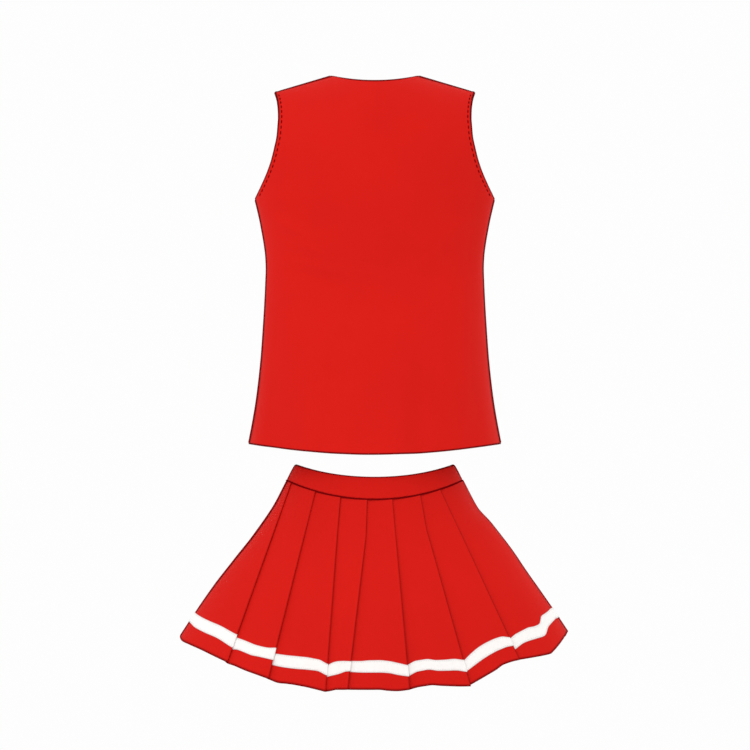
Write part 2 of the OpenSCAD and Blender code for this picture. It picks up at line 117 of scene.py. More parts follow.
def grid_normals(points):
    return unit(np.cross(np.gradient(points, axis=0), np.gradient(points, axis=1)))


def turn_towards(normals, direction):
    """Normals flipped together, if need be, to lie along the direction on average."""
    return normals * (np.sign((normals * direction).sum(-1).mean()) or 1)


def outward_normals(points):
    """Grid normals turned away from the z axis, judged at one point on the grid's open face."""
    normals = grid_normals(points)
    place = (points.shape[0] // 3, points.shape[1] // 2)
    return normals * (np.sign((normals[place] * points[place])[:2].sum()) or 1)


# ------------------------------------------------------------------ meshes
def make_mesh(name, shape, materials, slots=None):
    """Object from a shape: points and faces and, for cloth, also UVs in mm and edge values."""
    points, faces, *cloth = shape
    mesh = bpy.data.meshes.new(name)
    mesh.vertices.add(len(points))
    mesh.vertices.foreach_set("co", (points * 0.001).astype(np.float32).ravel())
    corners = np.concatenate(faces).astype(np.int32)
    starts = np.cumsum([0] + [len(face) for face in faces[:-1]]).astype(np.int32)
    mesh.loops.add(len(corners))
    mesh.loops.foreach_set("vertex_index", corners)
    mesh.polygons.add(len(faces))
    mesh.polygons.foreach_set("loop_start", starts)
    mesh.update(calc_edges=True)
    mesh.validate()
    mesh.polygons.foreach_set("use_smooth", np.ones(len(mesh.polygons), bool))
    if cloth:
        uv, edge = cloth
        attribute = mesh.attributes.new("edge", "FLOAT", "POINT")
        attribute.data.foreach_set("value", edge.astype(np.float32))
        layer = mesh.uv_layers.new(name="UVMap")
        index = np.zeros(len(mesh.loops), np.int32)
        mesh.loops.foreach_get("vertex_index", index)
        layer.data.foreach_set("uv", (uv[index] * 0.001).astype(np.float32).ravel())
    piece = bpy.data.objects.new(name, mesh)
    SCENE.collection.objects.link(piece)
    for material in materials:
        mesh.materials.append(material)
    if slots is not None:
        mesh.polygons.foreach_set("material_index", slots)
    work = bmesh.new()
    work.from_mesh(mesh)
    bmesh.ops.recalc_face_normals(work, faces=work.faces)
    work.to_mesh(mesh)
    work.free()
    mesh.update()
    return piece


def hand_over(piece, body, slot, *replaced):
    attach(piece, body)
    if replaced:
        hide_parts(*replaced)


def thick_grid(points, normals, thickness, uv, edge=0.0):
    """Closed sheet with rounded rims, from a grid of points on the cloth's right side."""
    rows, columns = points.shape[:2]
    count = rows * columns
    edge = np.broadcast_to(edge, (rows, columns))
    all_points = [points.reshape(-1, 3), (points - thickness * normals).reshape(-1, 3)]
    all_uvs = [uv.reshape(-1, 2)] * 2
    all_edges = [edge.ravel()] * 2

    def right(i, j):
        return i * columns + j

    def wrong(i, j):
        return count + i * columns + j

    I, J = (index.ravel() for index in grid(np.arange(rows - 1), np.arange(columns - 1)))
    faces = [
        np.stack([right(I, J), right(I + 1, J), right(I + 1, J + 1), right(I, J + 1)], 1),
        np.stack([wrong(I, J), wrong(I, J + 1), wrong(I + 1, J + 1), wrong(I + 1, J)], 1)]
    # the boundary, in order round the sheet
    loop = ([(i, 0) for i in range(rows)] + [(rows - 1, j) for j in range(1, columns)]
            + [(i, columns - 1) for i in range(rows - 2, -1, -1)]
            + [(0, j) for j in range(columns - 2, 0, -1)])
    i, j = np.array(loop).T
    border, normal = points[i, j], normals[i, j]
    outward = unit(np.cross(unit(np.roll(border, -1, 0) - np.roll(border, 1, 0)), normal))
    away = border - points[np.clip(i, 1, rows - 2), np.clip(j, 1, columns - 2)]
    signs = np.sign((outward * away).sum(1))
    signs[signs == 0] = 1
    outward = outward * (np.sign(signs.sum()) or 1)
    rings = [right(i, j)]
    for angle in (60, 90, 120):
        all_points.append(border - normal * (thickness / 2) * (1 - math.cos(angle * DEG))
                          + outward * (thickness * 0.42) * math.sin(angle * DEG))
        all_uvs.append(uv[i, j])
        all_edges.append(edge[i, j])
        rings.append(2 * count + (len(rings) - 1) * len(loop) + np.arange(len(loop)))
    rings.append(wrong(i, j))
    for a, b in zip(rings, rings[1:]):
        faces.append(np.stack([a, b, np.roll(b, -1), np.roll(a, -1)], 1))
    return tuple(np.concatenate(part) for part in (all_points, faces, all_uvs, all_edges))


def sheet(name, points, normals, thickness, uv, materials, edge=0.0):
    """A cloth object; a second material goes on the wrong side only."""
    shape = thick_grid(points, normals, thickness, uv, edge)
    slots = None
    if len(materials) == 2:
        side_faces = (points.shape[0] - 1) * (points.shape[1] - 1)
        slots = np.zeros(len(shape[1]), np.int32)
        slots[side_faces:2 * side_faces] = 1
    return make_mesh(name, shape, materials, slots)


def tube(path, radius, sides, up=UP):
    """Points and faces of a round cord along a path."""
    tangent = unit(np.gradient(path, axis=0))
    across = unit(np.cross(tangent, up))
    over = unit(np.cross(across, tangent))
    angles = [2 * math.pi * k / sides for k in range(sides)]
    points = np.stack([path + across * (radius * math.cos(a)) + over * (radius * math.sin(a))
                       for a in angles], 1).reshape(-1, 3)
    return points, skin(len(path), sides)


def skin(rings, sides):
    """Faces of a capped run of equal rings."""
    faces = []
    for i in range(rings - 1):
        for k in range(sides):
            n = (k + 1) % sides
            faces.append([i * sides + k, i * sides + n, (i + 1) * sides + n, (i + 1) * sides + k])
    faces.append(list(range(sides))[::-1])
    faces.append([(rings - 1) * sides + k for k in range(sides)])
    return faces


def joined(parts):
    """One shape from several."""
    points, faces, *cloth = zip(*parts)
    starts = np.cumsum([0] + [len(part) for part in points])
    moved = [[corner + start for corner in face]
             for part, start in zip(faces, starts) for face in part]
    return (np.concatenate(points), moved, *(np.concatenate(values) for values in cloth))


# (place along the stitch, share of its full section), then the section's (across, up)
STITCH_RINGS = [(-0.5, 0.35), (-0.38, 0.8), (-0.18, 1.0), (0.18, 1.0), (0.38, 0.8), (0.5, 0.35)]
STITCH_SECTION = [(-0.5, 0.0), (-0.42, 0.6), (-0.15, 1.0), (0.15, 1.0), (0.42, 0.6), (0.5, 0.0),
                  (0.0, -0.25)]


def stitch(place, along, normal, length, width, height):
    """A small rounded stitch lying on a surface."""
    across = np.cross(normal, along)
    points = [place + along * length * x + across * width * y * share
              + normal * height * (z * share if z > 0 else z)
              for x, share in STITCH_RINGS for y, z in STITCH_SECTION]
    return np.array(points), skin(len(STITCH_RINGS), len(STITCH_SECTION))


def stitch_row(path, normals, pitch, lift, length, width, height, to_count=round):
    """Even stitches along a path; to_count makes a whole number of the pitches that fit."""
    run = run_length(path)

    def at(distance, values):
        return np.array([np.interp(distance, run, values[:, axis]) for axis in range(3)])

    count = int(to_count(run[-1] / pitch))
    stitches = []
    for k in range(count):
        centre = (k + 0.5) * run[-1] / count
        normal = unit(at(centre, normals))
        along = unit(at(centre + 1, path) - at(centre - 1, path))
        along = unit(along - normal * (along @ normal))
        stitches.append(stitch(at(centre, path) + normal * lift, along, normal,
                               length, width, height))
    return stitches


# ------------------------------------------------------------------ materials
class Shader:
    """A material with a Principled surface, and short calls for adding its nodes."""

    def __init__(self, name):
        self.material = bpy.data.materials.new(name)
        self.material.use_nodes = True
        self.tree = self.material.node_tree
        self.tree.nodes.clear()
        output = self.node("OutputMaterial")
        self.principled = self.node("BsdfPrincipled")
        self.tree.links.new(self.principled.outputs[0], output.inputs[0])

    def node(self, kind, **settings):
        node = self.tree.nodes.new("ShaderNode" + kind)
        for key, value in settings.items():
            setattr(node, key, value)
        return node

    def put(self, socket, value):
        """Feeds a socket from an output, an RGB tuple or a number."""
        if isinstance(value, bpy.types.NodeSocket):
            self.tree.links.new(value, socket)
        else:
            socket.default_value = (*value, 1.0) if isinstance(value, tuple) else value

    def calc(self, operation, *values):
        node = self.node("Math", operation=operation)
        for socket, value in zip(node.inputs, values):
            self.put(socket, value)
        return node.outputs[0]

    def clamp(self, value):
        return self.calc("MAXIMUM", self.calc("MINIMUM", value, 1.0), 0.0)

    def offset_scaled(self, value, middle, gain):
        return self.calc("MULTIPLY", self.calc("SUBTRACT", value, middle), gain)

    def mix(self, factor, first, second):
        node = self.node("Mix", data_type="RGBA")
        for index, value in ((0, factor), (6, first), (7, second)):
            self.put(node.inputs[index], value)
        return node.outputs[2]

    def position(self):
        return self.node("NewGeometry").outputs["Position"]

    def cloth_uv(self):
        coordinates = self.node("SeparateXYZ")
        uv = self.node("UVMap", uv_map="UVMap")
        self.put(coordinates.inputs[0], uv.outputs[0])
        return coordinates.outputs[0], coordinates.outputs[1]

    def noise(self, position, scale, detail=2.0):
        node = self.node("TexNoise")
        node.inputs["Scale"].default_value = scale
        node.inputs["Detail"].default_value = detail
        self.put(node.inputs["Vector"], position)
        return node.outputs[0]

    def edge(self):
        """The mesh's edge attribute, the share of painted shade at edges and folds, held to 0..1.
        """
        value = self.node("Attribute", attribute_name="edge").outputs["Fac"]
        return self.calc("MINIMUM", self.calc("MAXIMUM", value, 0.0), 1.0)

    def bump(self, height, strength, distance):
        node = self.node("Bump")
        node.inputs["Strength"].default_value = strength
        node.inputs["Distance"].default_value = distance
        self.put(node.inputs["Height"], height)
        self.put(self.principled.inputs["Normal"], node.outputs[0])

    def surface(self, values):
        for key, value in values.items():
            self.put(self.principled.inputs[key], value)
        return self.material


def waves_per_metre(pitch):
    """Phase in radians per metre of UV, for a pitch in mm."""
    return 2000 * math.pi / pitch


def darker(colour, share):
    return tuple(c * share for c in colour)


def knit(name, colour, dark, painted_shade_colour, rough, sheen, row_pitch, wale_pitch=1.15):
    """Fine double knit: rows of small loops, a soft colour drift, and painted shade at edges,
    folds and seams and along the outline.
    """
    drift, loop_shade, fuzz = 0.4, 0.16, 0.25    # how far each one pulls towards the dark colour
    outline_shade = 0.8                            # painted shade where the cloth turns from the eye
    shader = Shader(name)
    calc = shader.calc
    u, v = shader.cloth_uv()
    u = calc("MULTIPLY", u, waves_per_metre(wale_pitch))
    v = calc("MULTIPLY", v, waves_per_metre(row_pitch))
    # wales are soft ribs, with the loops shifted on every other wale
    ribs = calc("ABSOLUTE", calc("SINE", calc("MULTIPLY", u, 0.5)))
    shift = calc("MULTIPLY", calc("SINE", u), 1.1)
    rows = calc("SINE", calc("ADD", v, shift))
    loops = calc("ADD", calc("MULTIPLY", ribs, 0.65), calc("MULTIPLY", rows, 0.35))
    position = shader.position()
    broad = shader.noise(position, scale=7.0, detail=3.0)
    fine = shader.noise(position, scale=900.0)
    factor = shader.offset_scaled(broad, 0.5, drift)
    gaps = calc("MULTIPLY", calc("SUBTRACT", 1.0, loops), loop_shade)
    factor = calc("ADD", factor, gaps)
    factor = calc("ADD", factor, shader.offset_scaled(fine, 0.5, fuzz))
    body = shader.mix(shader.clamp(factor), colour, dark)
    # painted shade at turned edges, folds, seams and the hem, set by the mesh's edge attribute
    edge = shader.edge()
    body = shader.mix(edge, body, painted_shade_colour)
    # painted shade along the outline: the cloth darkens and loses its sheen where it turns away
    # from the eye
    weight = shader.node("LayerWeight")
    weight.inputs["Blend"].default_value = 0.5
    turned = shader.node("MapRange", interpolation_type="SMOOTHSTEP")
    shader.put(turned.inputs["Value"], weight.outputs["Facing"])
    turned.inputs["From Min"].default_value = 0.70
    turned.inputs["From Max"].default_value = 0.83
    turned = turned.outputs[0]
    body = shader.mix(calc("MULTIPLY", turned, outline_shade), body, painted_shade_colour)
    lit = calc("SUBTRACT", 1.0, calc("MAXIMUM", turned, calc("MULTIPLY", edge, 0.9)))
    shader.surface({
        "Base Color": body,
        "Roughness": rough,
        "Specular IOR Level": calc("MULTIPLY", lit, 0.07),
        "Sheen Weight": calc("MULTIPLY", lit, sheen),
        "Sheen Roughness": 0.4,
        "Sheen Tint": tuple(min(1, c * 1.2 + 0.02) for c in colour)})
    shader.bump(calc("ADD", loops, calc("MULTIPLY", fine, 0.5)), strength=0.25, distance=0.00035)
    return shader.material


def woven(name, colour, dark, pitch, rough=0.8, bump=0.35, sheen=0.1, slant=0.0, edge=None):
    """Flat woven braid, tape or ribbon."""
    weave_shade, fuzz = 0.35, 0.5                # how far each one pulls towards the dark colour
    shader = Shader(name)
    calc = shader.calc
    u, v = shader.cloth_uv()
    slanted = calc("ADD", u, calc("MULTIPLY", v, slant))
    across = calc("MULTIPLY", slanted, waves_per_metre(pitch[0]))
    along = calc("MULTIPLY", v, waves_per_metre(pitch[1]))
    weave = calc("MULTIPLY", calc("SINE", across), calc("SINE", along))
    weave = calc("ADD", calc("MULTIPLY", weave, 0.5), 0.5)
    fine = shader.noise(shader.position(), scale=260.0, detail=3.0)
    gaps = calc("MULTIPLY", calc("SUBTRACT", 1.0, weave), weave_shade)
    factor = calc("ADD", gaps, shader.offset_scaled(fine, 0.45, fuzz))
    body = shader.mix(shader.clamp(factor), colour, dark)
    body = shader.mix(shader.edge(), body, edge or darker(dark, 0.45))
    shader.bump(weave, strength=bump, distance=0.0003)
    return shader.surface({"Base Color": body, "Roughness": rough,
                           "Specular IOR Level": 0.25, "Sheen Weight": sheen})


def thread(name, colour, twist=1.1):
    """Twisted sewing thread or cord."""
    shader = Shader(name)
    position = shader.position()
    wave = shader.node("TexWave", wave_type="BANDS", bands_direction="DIAGONAL")
    wave.inputs["Scale"].default_value = 500.0 / twist
    wave.inputs["Distortion"].default_value = 1.5
    shader.put(wave.inputs["Vector"], position)
    strands = wave.outputs["Fac"]
    body = shader.mix(shader.calc("MULTIPLY", strands, 0.45), colour, darker(colour, 0.5))
    shader.bump(strands, strength=0.5, distance=0.0003)
    return shader.surface({"Base Color": body, "Roughness": 0.75, "Specular IOR Level": 0.0})


def nickel_metal():
    colour = (0.78, 0.77, 0.75)
    shader = Shader("nickel")
    grain = shader.noise(shader.position(), scale=420.0, detail=4.0)
    body = shader.mix(shader.calc("MULTIPLY", grain, 0.5), colour, darker(colour, 0.72))
    rough = shader.calc("ADD", shader.calc("MULTIPLY", grain, 0.25), 0.18)
    return shader.surface({"Base Color": body, "Metallic": 1.0, "Roughness": rough})


def teeth_plastic():
    colour = (0.52, 0.013, 0.010)
    shader = Shader("red_zip_teeth")
    grain = shader.noise(shader.position(), scale=600.0)
    body = shader.mix(shader.calc("MULTIPLY", grain, 0.6), colour, darker(colour, 0.6))
    return shader.surface({"Base Color": body, "Roughness": 0.4})


# the darkest colour of each knit is its painted shade at edges, folds and the outline
RED_KNIT = knit("red_double_knit", colour=(0.655, 0.0095, 0.0055), dark=(0.47, 0.006, 0.004),
                painted_shade_colour=(0.085, 0.002, 0.003), rough=0.72, sheen=0.12, row_pitch=0.95)
WRONG_SIDE = knit("red_double_knit_wrong_side", colour=(0.60, 0.014, 0.010),
                  dark=(0.42, 0.009, 0.008), painted_shade_colour=(0.12, 0.003, 0.003),
                  rough=0.85, sheen=0.15, row_pitch=1.9)
# the braid's edge colour is the painted shade along its edges, where it sits on the cloth
WHITE_BRAID = woven("white_braid", colour=(0.97, 0.955, 0.935), dark=(0.80, 0.78, 0.76),
                    pitch=(1.6, 1.6), slant=1.0, bump=0.3, edge=(0.30, 0.012, 0.012))
WHITE_TAPE = woven("white_woven_tape", colour=(0.86, 0.85, 0.83), dark=(0.66, 0.65, 0.63),
                   pitch=(1.0, 1.0))
SATIN = woven("white_satin_ribbon", colour=(0.93, 0.92, 0.90), dark=(0.80, 0.79, 0.78),
              pitch=(0.5, 2.0), rough=0.38, bump=0.12, sheen=0.4)
RED_TAPE = woven("red_zip_tape", colour=(0.50, 0.012, 0.010), dark=(0.30, 0.007, 0.006),
                 pitch=(0.8, 1.2))
# a dark cord that stands in for the shade line along the waist seam
SEAM_SHADE_CORD = thread("dark_red_thread", (0.20, 0.0015, 0.003))
TOPSTITCH = thread("dark_red_topstitch_thread", (0.19, 0.001, 0.002))
SEAM_CORD = thread("maroon_seam_cord", (0.105, 0.0015, 0.003))
WHITE_THREAD = thread("white_thread", (0.80, 0.79, 0.77))
NICKEL = nickel_metal()
TEETH = teeth_plastic()

# ------------------------------------------------------------------ shell surface
CHEST_HALF_WIDTH = 384.0 / 2
CHEST_HALF_DEPTH = 228.0 / 2
NECK_Z = 986.0
TOP_LENGTH = 589.0
HEM_Z = NECK_Z - TOP_LENGTH
HEM_DIP = 18.5              # how far the hem sags at the middle of the back
FRONT_LIFT = 4.0            # how much less it sags at the front
NECK_HALF = 139.2 / 2
BACK_NECK_DROP = 8.6
FRONT_NECK_DROP = 104.0
SHOULDER_SLOPE = 0.297
UNDERARM = 0.6655           # share of the top's length, from the hem
TIP_SHARE = 0.8359          # shoulder tip, as a share of the chest's half width
TIP_X = CHEST_HALF_WIDTH * TIP_SHARE
ARM_Z = HEM_Z + TOP_LENGTH * UNDERARM

# (share of the length, share of the chest's half width)
side_below_arm = curve([
    (0, 1.052), (0.052, 1.0208), (0.117, 0.9875), (0.182, 0.9625), (0.247, 0.9432),
    (0.312, 0.9292), (0.378, 0.9167), (0.443, 0.9073), (0.475, 0.9042), (0.508, 0.9083),
    (0.541, 0.9208), (0.573, 0.9375), (0.606, 0.9568), (0.638, 0.9792), (UNDERARM, 1.0)])
side_above_arm = curve([
    (UNDERARM, 1.0), (0.7037, 0.9417), (0.7363, 0.8974), (0.769, 0.8625), (0.8015, 0.8375),
    (0.834, 0.8167), (0.8667, 0.8083), (0.8829, 0.8047), (0.8993, 0.8057), (0.9319, 0.8167),
    (0.9537, TIP_SHARE)])
# (share of the length, share of the chest's half depth), by sign of y
BODY_FORM = {
    -1: curve([(-0.04, 1.12), (0.09, 1.07), (0.28, 0.93), (0.45, 0.81), (0.58, 0.87),
               (0.68, 0.94), (0.79, 0.95), (0.89, 0.92), (1.05, 0.83)]),
    1: curve([(-0.04, 1.10), (0.09, 1.04), (0.28, 0.925), (0.36, 0.89), (0.43, 0.89),
              (0.50, 0.93), (0.57, 1.0), (0.63, 1.05), (0.68, 1.058), (0.73, 1.025),
              (0.79, 0.96), (0.89, 0.83), (1.05, 0.70)])}


def length_share(z):
    return (np.asarray(z, float) - HEM_Z) / TOP_LENGTH


def half_width(z):
    """Half width of the cloth, cut in at the armholes."""
    share = length_share(z)
    return CHEST_HALF_WIDTH * np.where(share < UNDERARM, side_below_arm(share),
                                       side_above_arm(share))


def body_half_width(z):
    """Half width of the body, full across the armholes."""
    share = length_share(z)
    return CHEST_HALF_WIDTH * np.where(share < UNDERARM, side_below_arm(share), 1.0)


def ridge(x):
    """Height of the shoulder line."""
    return NECK_Z - (np.abs(x) - NECK_HALF) * SHOULDER_SLOPE


def crown(x, side):
    """Height of a panel's top edge: neckline between the shoulders."""
    share = np.clip(np.abs(x) / NECK_HALF, 0, 1)
    if side < 0:
        neckline = NECK_Z - BACK_NECK_DROP * (1 - share**2)
    else:
        neckline = NECK_Z - FRONT_NECK_DROP * (1 - share**1.4)
    return np.where(np.abs(x) >= NECK_HALF, ridge(x), neckline)


def hem_z(u, side):
    dip = HEM_DIP if side < 0 else HEM_DIP - FRONT_LIFT
    return HEM_Z - dip * (1 - u * u)


def smooth_shell(u, v, side):
    """Unwrinkled panel; u runs -1 to 1 across and v 0 to 1 from hem to top edge."""
    z = mix(hem_z(u, side), crown(u * TIP_X, side), v)
    x = u * half_width(np.where(v >= 1, NECK_Z, z))
    form = BODY_FORM[side](length_share(z)) * CHEST_HALF_DEPTH
    closing = np.clip((ridge(x) - z) / 110, 0, 1)
    y = side * (0.2 + form * np.sqrt(np.maximum(0, 1 - (x / body_half_width(z))**2))
                * np.sqrt(np.maximum(0, 1 - (1 - closing)**2)))
    return np.stack([x, y, z], -1)


def wrinkles(points, side):
    """Soft folds of worn knit, in mm along the normal."""
    x, z = points[..., 0], points[..., 2]
    depth = np.zeros_like(x)
    draw = np.random.default_rng(5 if side < 0 else 9)
    # folds falling to the hem: (wavelength, height)
    for wavelength, height in ((118, 1.9), (74, 1.3), (47, 0.6)):
        phase = draw.uniform(0, 6.28)
        lean = draw.uniform(-0.12, 0.12)
        depth += (height * np.cos(2 * math.pi * (x + lean * (z - HEM_Z)) / wavelength + phase)
                  * np.exp(-np.maximum(z - HEM_Z, 0) / 150))
    # crush lines over the waist
    for _ in range(9):
        centre_z = HEM_Z + TOP_LENGTH * draw.uniform(0.34, 0.60)
        centre_x = draw.choice([-1, 1]) * draw.uniform(40, 165)
        angle = (draw.uniform(8, 26) * (1 if centre_x > 0 else -1)) * DEG
        dx, dz = x - centre_x, z - centre_z
        along = dx * math.cos(angle) + dz * math.sin(angle)
        across = -dx * math.sin(angle) + dz * math.cos(angle)
        length = draw.uniform(45, 95)
        width = draw.uniform(7, 13)
        crest = np.exp(-(across / width)**2)
        trough = 0.5 * np.exp(-((across - 1.6 * width) / (1.3 * width))**2)
        depth += draw.uniform(0.7, 1.5) * np.exp(-(along / length)**2) * (crest - trough)
    # drag lines from the underarm towards the middle
    for hand in (-1, 1):
        for k in range(3):
            angle = (-28 - 17 * k + draw.uniform(-4, 4)) * DEG
            dx = (x - hand * (150 - 16 * k)) * hand
            dz = z - (HEM_Z + TOP_LENGTH * (0.60 - 0.015 * k))
            along = -dx * math.cos(angle) + dz * math.sin(angle)
            across = dx * math.sin(angle) + dz * math.cos(angle)
            length, width = 60 + 12 * k, 7 + 2 * k
            depth += ((1.0 - 0.2 * k) * np.exp(-((along - 25) / length)**2)
                      * np.exp(-(across / width)**2))
    # long slow unevenness
    depth += 0.9 * np.sin(x / 61 + 1.3 * side) * np.sin(z / 83 + 0.7)
    depth += 0.6 * np.sin(x / 31 + z / 57)
    return depth


NECK_U = NECK_HALF / TIP_X
# armhole edge rows, by distance in from the shoulder tip
EDGE_ROWS = [0, 0.05, 0.25, 0.6, 1.2, 1.9, 2.7, 3.5, 4.3, 5.1, 5.9, 7.0, 8.4, 10.0, 12.5, 16.0]
edge_us = [1 - distance / TIP_X for distance in EDGE_ROWS]
outer_us = list(np.linspace(NECK_U, edge_us[-1], 22)) + edge_us
neck_us = list(np.linspace(-NECK_U, NECK_U, 37))
PANEL_U = np.array(sorted({round(u, 6) for u in [-u for u in outer_us] + neck_us + outer_us}))

ARM_V = TOP_LENGTH * UNDERARM / (ridge(TIP_X) - HEM_Z)
ABOVE = 1 - ARM_V
PANEL_V = np.unique(np.round(np.concatenate([
    [0, 0.0022, 0.0045, 0.008, 0.013],
    np.linspace(0.02, ARM_V - 0.012, 78),
    [ARM_V - 0.006, ARM_V - 0.002, ARM_V],
    ARM_V + ABOVE * np.array([0.004, 0.01, 0.018, 0.028, 0.04, 0.055]),
    ARM_V + ABOVE * np.linspace(0.075, 0.80, 26),
    ARM_V + ABOVE * (1 - (1 - np.linspace(0.0, 1.0, 16))**2) * 0.2 + ABOVE * 0.80]), 6))

PANELS = {}     # sign of y: (points, normals) of the finished panel


def shell_uv(points):
    return np.stack([points[..., 0] * 1.15 + 500, points[..., 2]], -1)


def near(distance, width):
    return 1 - smooth_step(width * 0.55, width, distance)


def build_panel(side, name):
    u, v = grid(PANEL_U, PANEL_V)
    points = smooth_shell(u, v, side)
    normals = -side * grid_normals(points)
    z = points[..., 2]
    # distance from the sides straight across, then from sides and top along the cloth
    edge_distance = (1 - np.abs(u)) * half_width(z)
    run_across = run_length(points)
    side_run = np.minimum(run_across, run_across[-1:] - run_across)
    run_up = run_length(points.swapaxes(0, 1)).T
    top_run = run_up[:, -1:] - run_up
    by_armhole = z > ARM_Z
    below_crown = crown(u * TIP_X, side) - z
    calm = (smooth_step(0, 26, edge_distance)
            * np.where(np.abs(u) < NECK_U, smooth_step(0, 30, below_crown), 1.0)
            * smooth_step(0, 45, ridge(points[..., 0]) - z))
    depth = wrinkles(points, side) * calm
    # the turned armhole edge: fuller up to the stitch line, pressed in at it
    puff = (0.45 * np.exp(-((edge_distance - 3.0) / 1.9)**2)
            - 0.55 * np.exp(-((edge_distance - 5.6) / 1.1)**2))
    depth += np.where(by_armhole, puff, 0) * smooth_step(0, 14, z - ARM_Z)
    points = points + normals * depth[..., None]
    normals = -side * grid_normals(points)
    PANELS[side] = points, normals

    # painted shade along the hem, the armholes, the side and shoulder seams and the neckline
    hem = near(z - hem_z(u, side), 2.2) * 0.85
    armhole = np.maximum(near(side_run, 3.8), near(edge_distance, 2.5))
    sides = np.where(by_armhole, armhole, near(side_run, 1.3) * 0.7) * 0.95
    top = np.where(np.abs(u) <= NECK_U + 1e-6, near(top_run, 4.4), near(top_run, 1.3) * 0.7) * 0.9
    edge = np.maximum(np.maximum(hem, sides), top)
    panel = sheet("shell_%s_knit" % name, points, normals, 1.6, shell_uv(points),
                  [RED_KNIT, WRONG_SIDE], edge)
    hand_over(panel, "shell_top", "red_double_knit", "shell_%s_panel" % name)


def on_panel(side, u, v):
    """Points and normals of the finished panel at u, v."""
    u = np.clip(np.asarray(u, float), -1, 1)
    v = np.clip(np.asarray(v, float), 0, 1)
    i = np.clip(np.searchsorted(PANEL_U, u, side="right") - 1, 0, len(PANEL_U) - 2)
    j = np.clip(np.searchsorted(PANEL_V, v, side="right") - 1, 0, len(PANEL_V) - 2)
    a = ((u - PANEL_U[i]) / (PANEL_U[i + 1] - PANEL_U[i]))[..., None]
    b = ((v - PANEL_V[j]) / (PANEL_V[j + 1] - PANEL_V[j]))[..., None]
    points, normals = (mix(mix(values[i, j], values[i + 1, j], a),
                           mix(values[i, j + 1], values[i + 1, j + 1], a), b)
                       for values in PANELS[side])
    return points, unit(normals)


def on_panel_at_height(side, u, z):
    low = hem_z(u, side)
    return on_panel(side, u, (z - low) / (crown(u * TIP_X, side) - low))


for side, name in BACK_FRONT:
    build_panel(side, name)

# ------------------------------------------------------------------ shell details
FACING_WIDTH = 18.0


def facing_strip(side, u, z, low_edge=0.0):
    """A strip just inside the panel; low_edge shades its first column."""
    points, panel_normals = on_panel_at_height(side, u, z)
    points = points - panel_normals * 1.9
    edge = np.zeros(points.shape[:2])
    edge[:, 0] = low_edge
    return thick_grid(points, turn_towards(grid_normals(points), panel_normals), 0.8,
                      shell_uv(points), edge)


def add_facing(name, strips):
    facing = make_mesh(name + "_knit", joined(strips), [WRONG_SIDE])
    hand_over(facing, "shell_top", "red_double_knit", name)


def neck_strip(side):
    reach = NECK_HALF - 1.5
    u, share = grid(np.linspace(-reach, reach, 49) / TIP_X, np.linspace(0, 1, 8))
    z = crown(u * TIP_X, side) - 1.5 - FACING_WIDTH * (1 - share)
    return facing_strip(side, u, z, low_edge=0.4)


def armhole_strip(side, hand):
    inset, z = grid(np.linspace(1, 10, 7), np.linspace(ARM_Z + 5, ridge(TIP_X) - 3, 44))
    return facing_strip(side, hand * (1 - inset / half_width(z)), z)


def hem_strip(side):
    u, share = grid(np.linspace(-0.992, 0.992, 90), np.linspace(0, 1, 8))
    return facing_strip(side, u, hem_z(u, side) + 1.2 + FACING_WIDTH * share)


add_facing("neck_facing", [neck_strip(side) for side in (-1, 1)])
for hand, name in LEFT_RIGHT:
    add_facing("armhole_facing_" + name, [armhole_strip(side, hand) for side in (-1, 1)])
add_facing("shell_hem_facing", [hem_strip(side) for side in (-1, 1)])


def shoulder_tape(hand):
    """Narrow woven tape inside a shoulder seam."""
    x, y = grid(hand * np.linspace(NECK_HALF + 8, TIP_X - 8, 24), np.linspace(-4, 4, 5))
    points = np.stack([x, y, ridge(x) - 4.3 - 0.012 * y**2], -1)
    normals = np.broadcast_to(unit(np.array([hand * SHOULDER_SLOPE, 0, 1])), points.shape)
    return thick_grid(points, normals, 0.8, np.stack([x, y], -1))


hand_over(make_mesh("shoulder_tape_weave", joined([shoulder_tape(-1), shoulder_tape(1)]),
                    [RED_TAPE]),
          "shell_top", "red_zip_tape", "shoulder_tapes")


def build_label():
    """Blank label inside the back neck, with a slight curl."""
    half, height = 17, 26
    x, down = grid(np.linspace(-half, half, 18), np.linspace(0, 1, 14))
    points = np.stack([x, -63.2 + 1.6 * down**2 + 0.5 * np.cos(x / 9),
                       NECK_Z - 14 - height * down], -1)
    normals = turn_towards(grid_normals(points), np.array([0, 1, 0]))
    label = sheet("blank_label_ribbon", points, normals, 0.5, np.stack([x, down * height], -1),
                  [SATIN])
    hand_over(label, "shell_top", "white_tape", "size_label")


build_label()


def armhole_stitches():
    """Even dashes just inside the turned armhole edges."""
    parts = []
    for side in (-1, 1):
        for hand in (-1, 1):
            z = np.linspace(ARM_Z + 2.5, ridge(TIP_X) - 3.0, 400)
            path, normals = on_panel_at_height(side, hand * (1 - 5.7 / half_width(z)), z)
            parts += stitch_row(path, normals, pitch=9.1, lift=0.12,
                                length=5.6, width=2.2, height=0.6)
    return joined(parts)


hand_over(make_mesh("armhole_stitch_thread", armhole_stitches(), [TOPSTITCH]),
          "shell_top", "dark_red_thread", "armhole_stitches")


def between_panels(u, v):
    u, v = np.broadcast_arrays(u, v)
    return (on_panel(-1, u, v)[0] + on_panel(1, u, v)[0]) / 2


def shell_seams():
    """Cords along the side and shoulder seams."""
    parts = []
    for hand in (-1, 1):
        path = between_panels(hand, np.linspace(0.003, ARM_V - 0.004, 90))
        parts.append(tube(path + np.array([hand * 0.05, 0, 0]), radius=0.9, sides=8,
                          up=np.array([1.0, 0, 0])))
        path = between_panels(hand * np.linspace(NECK_U + 0.01, 0.995, 40), 1.0)
        parts.append(tube(path + 0.05 * UP, radius=0.7, sides=8))
    return joined(parts)


hand_over(make_mesh("shell_seam_cord", shell_seams(), [SEAM_CORD]),
          "shell_top", "dark_red_thread")

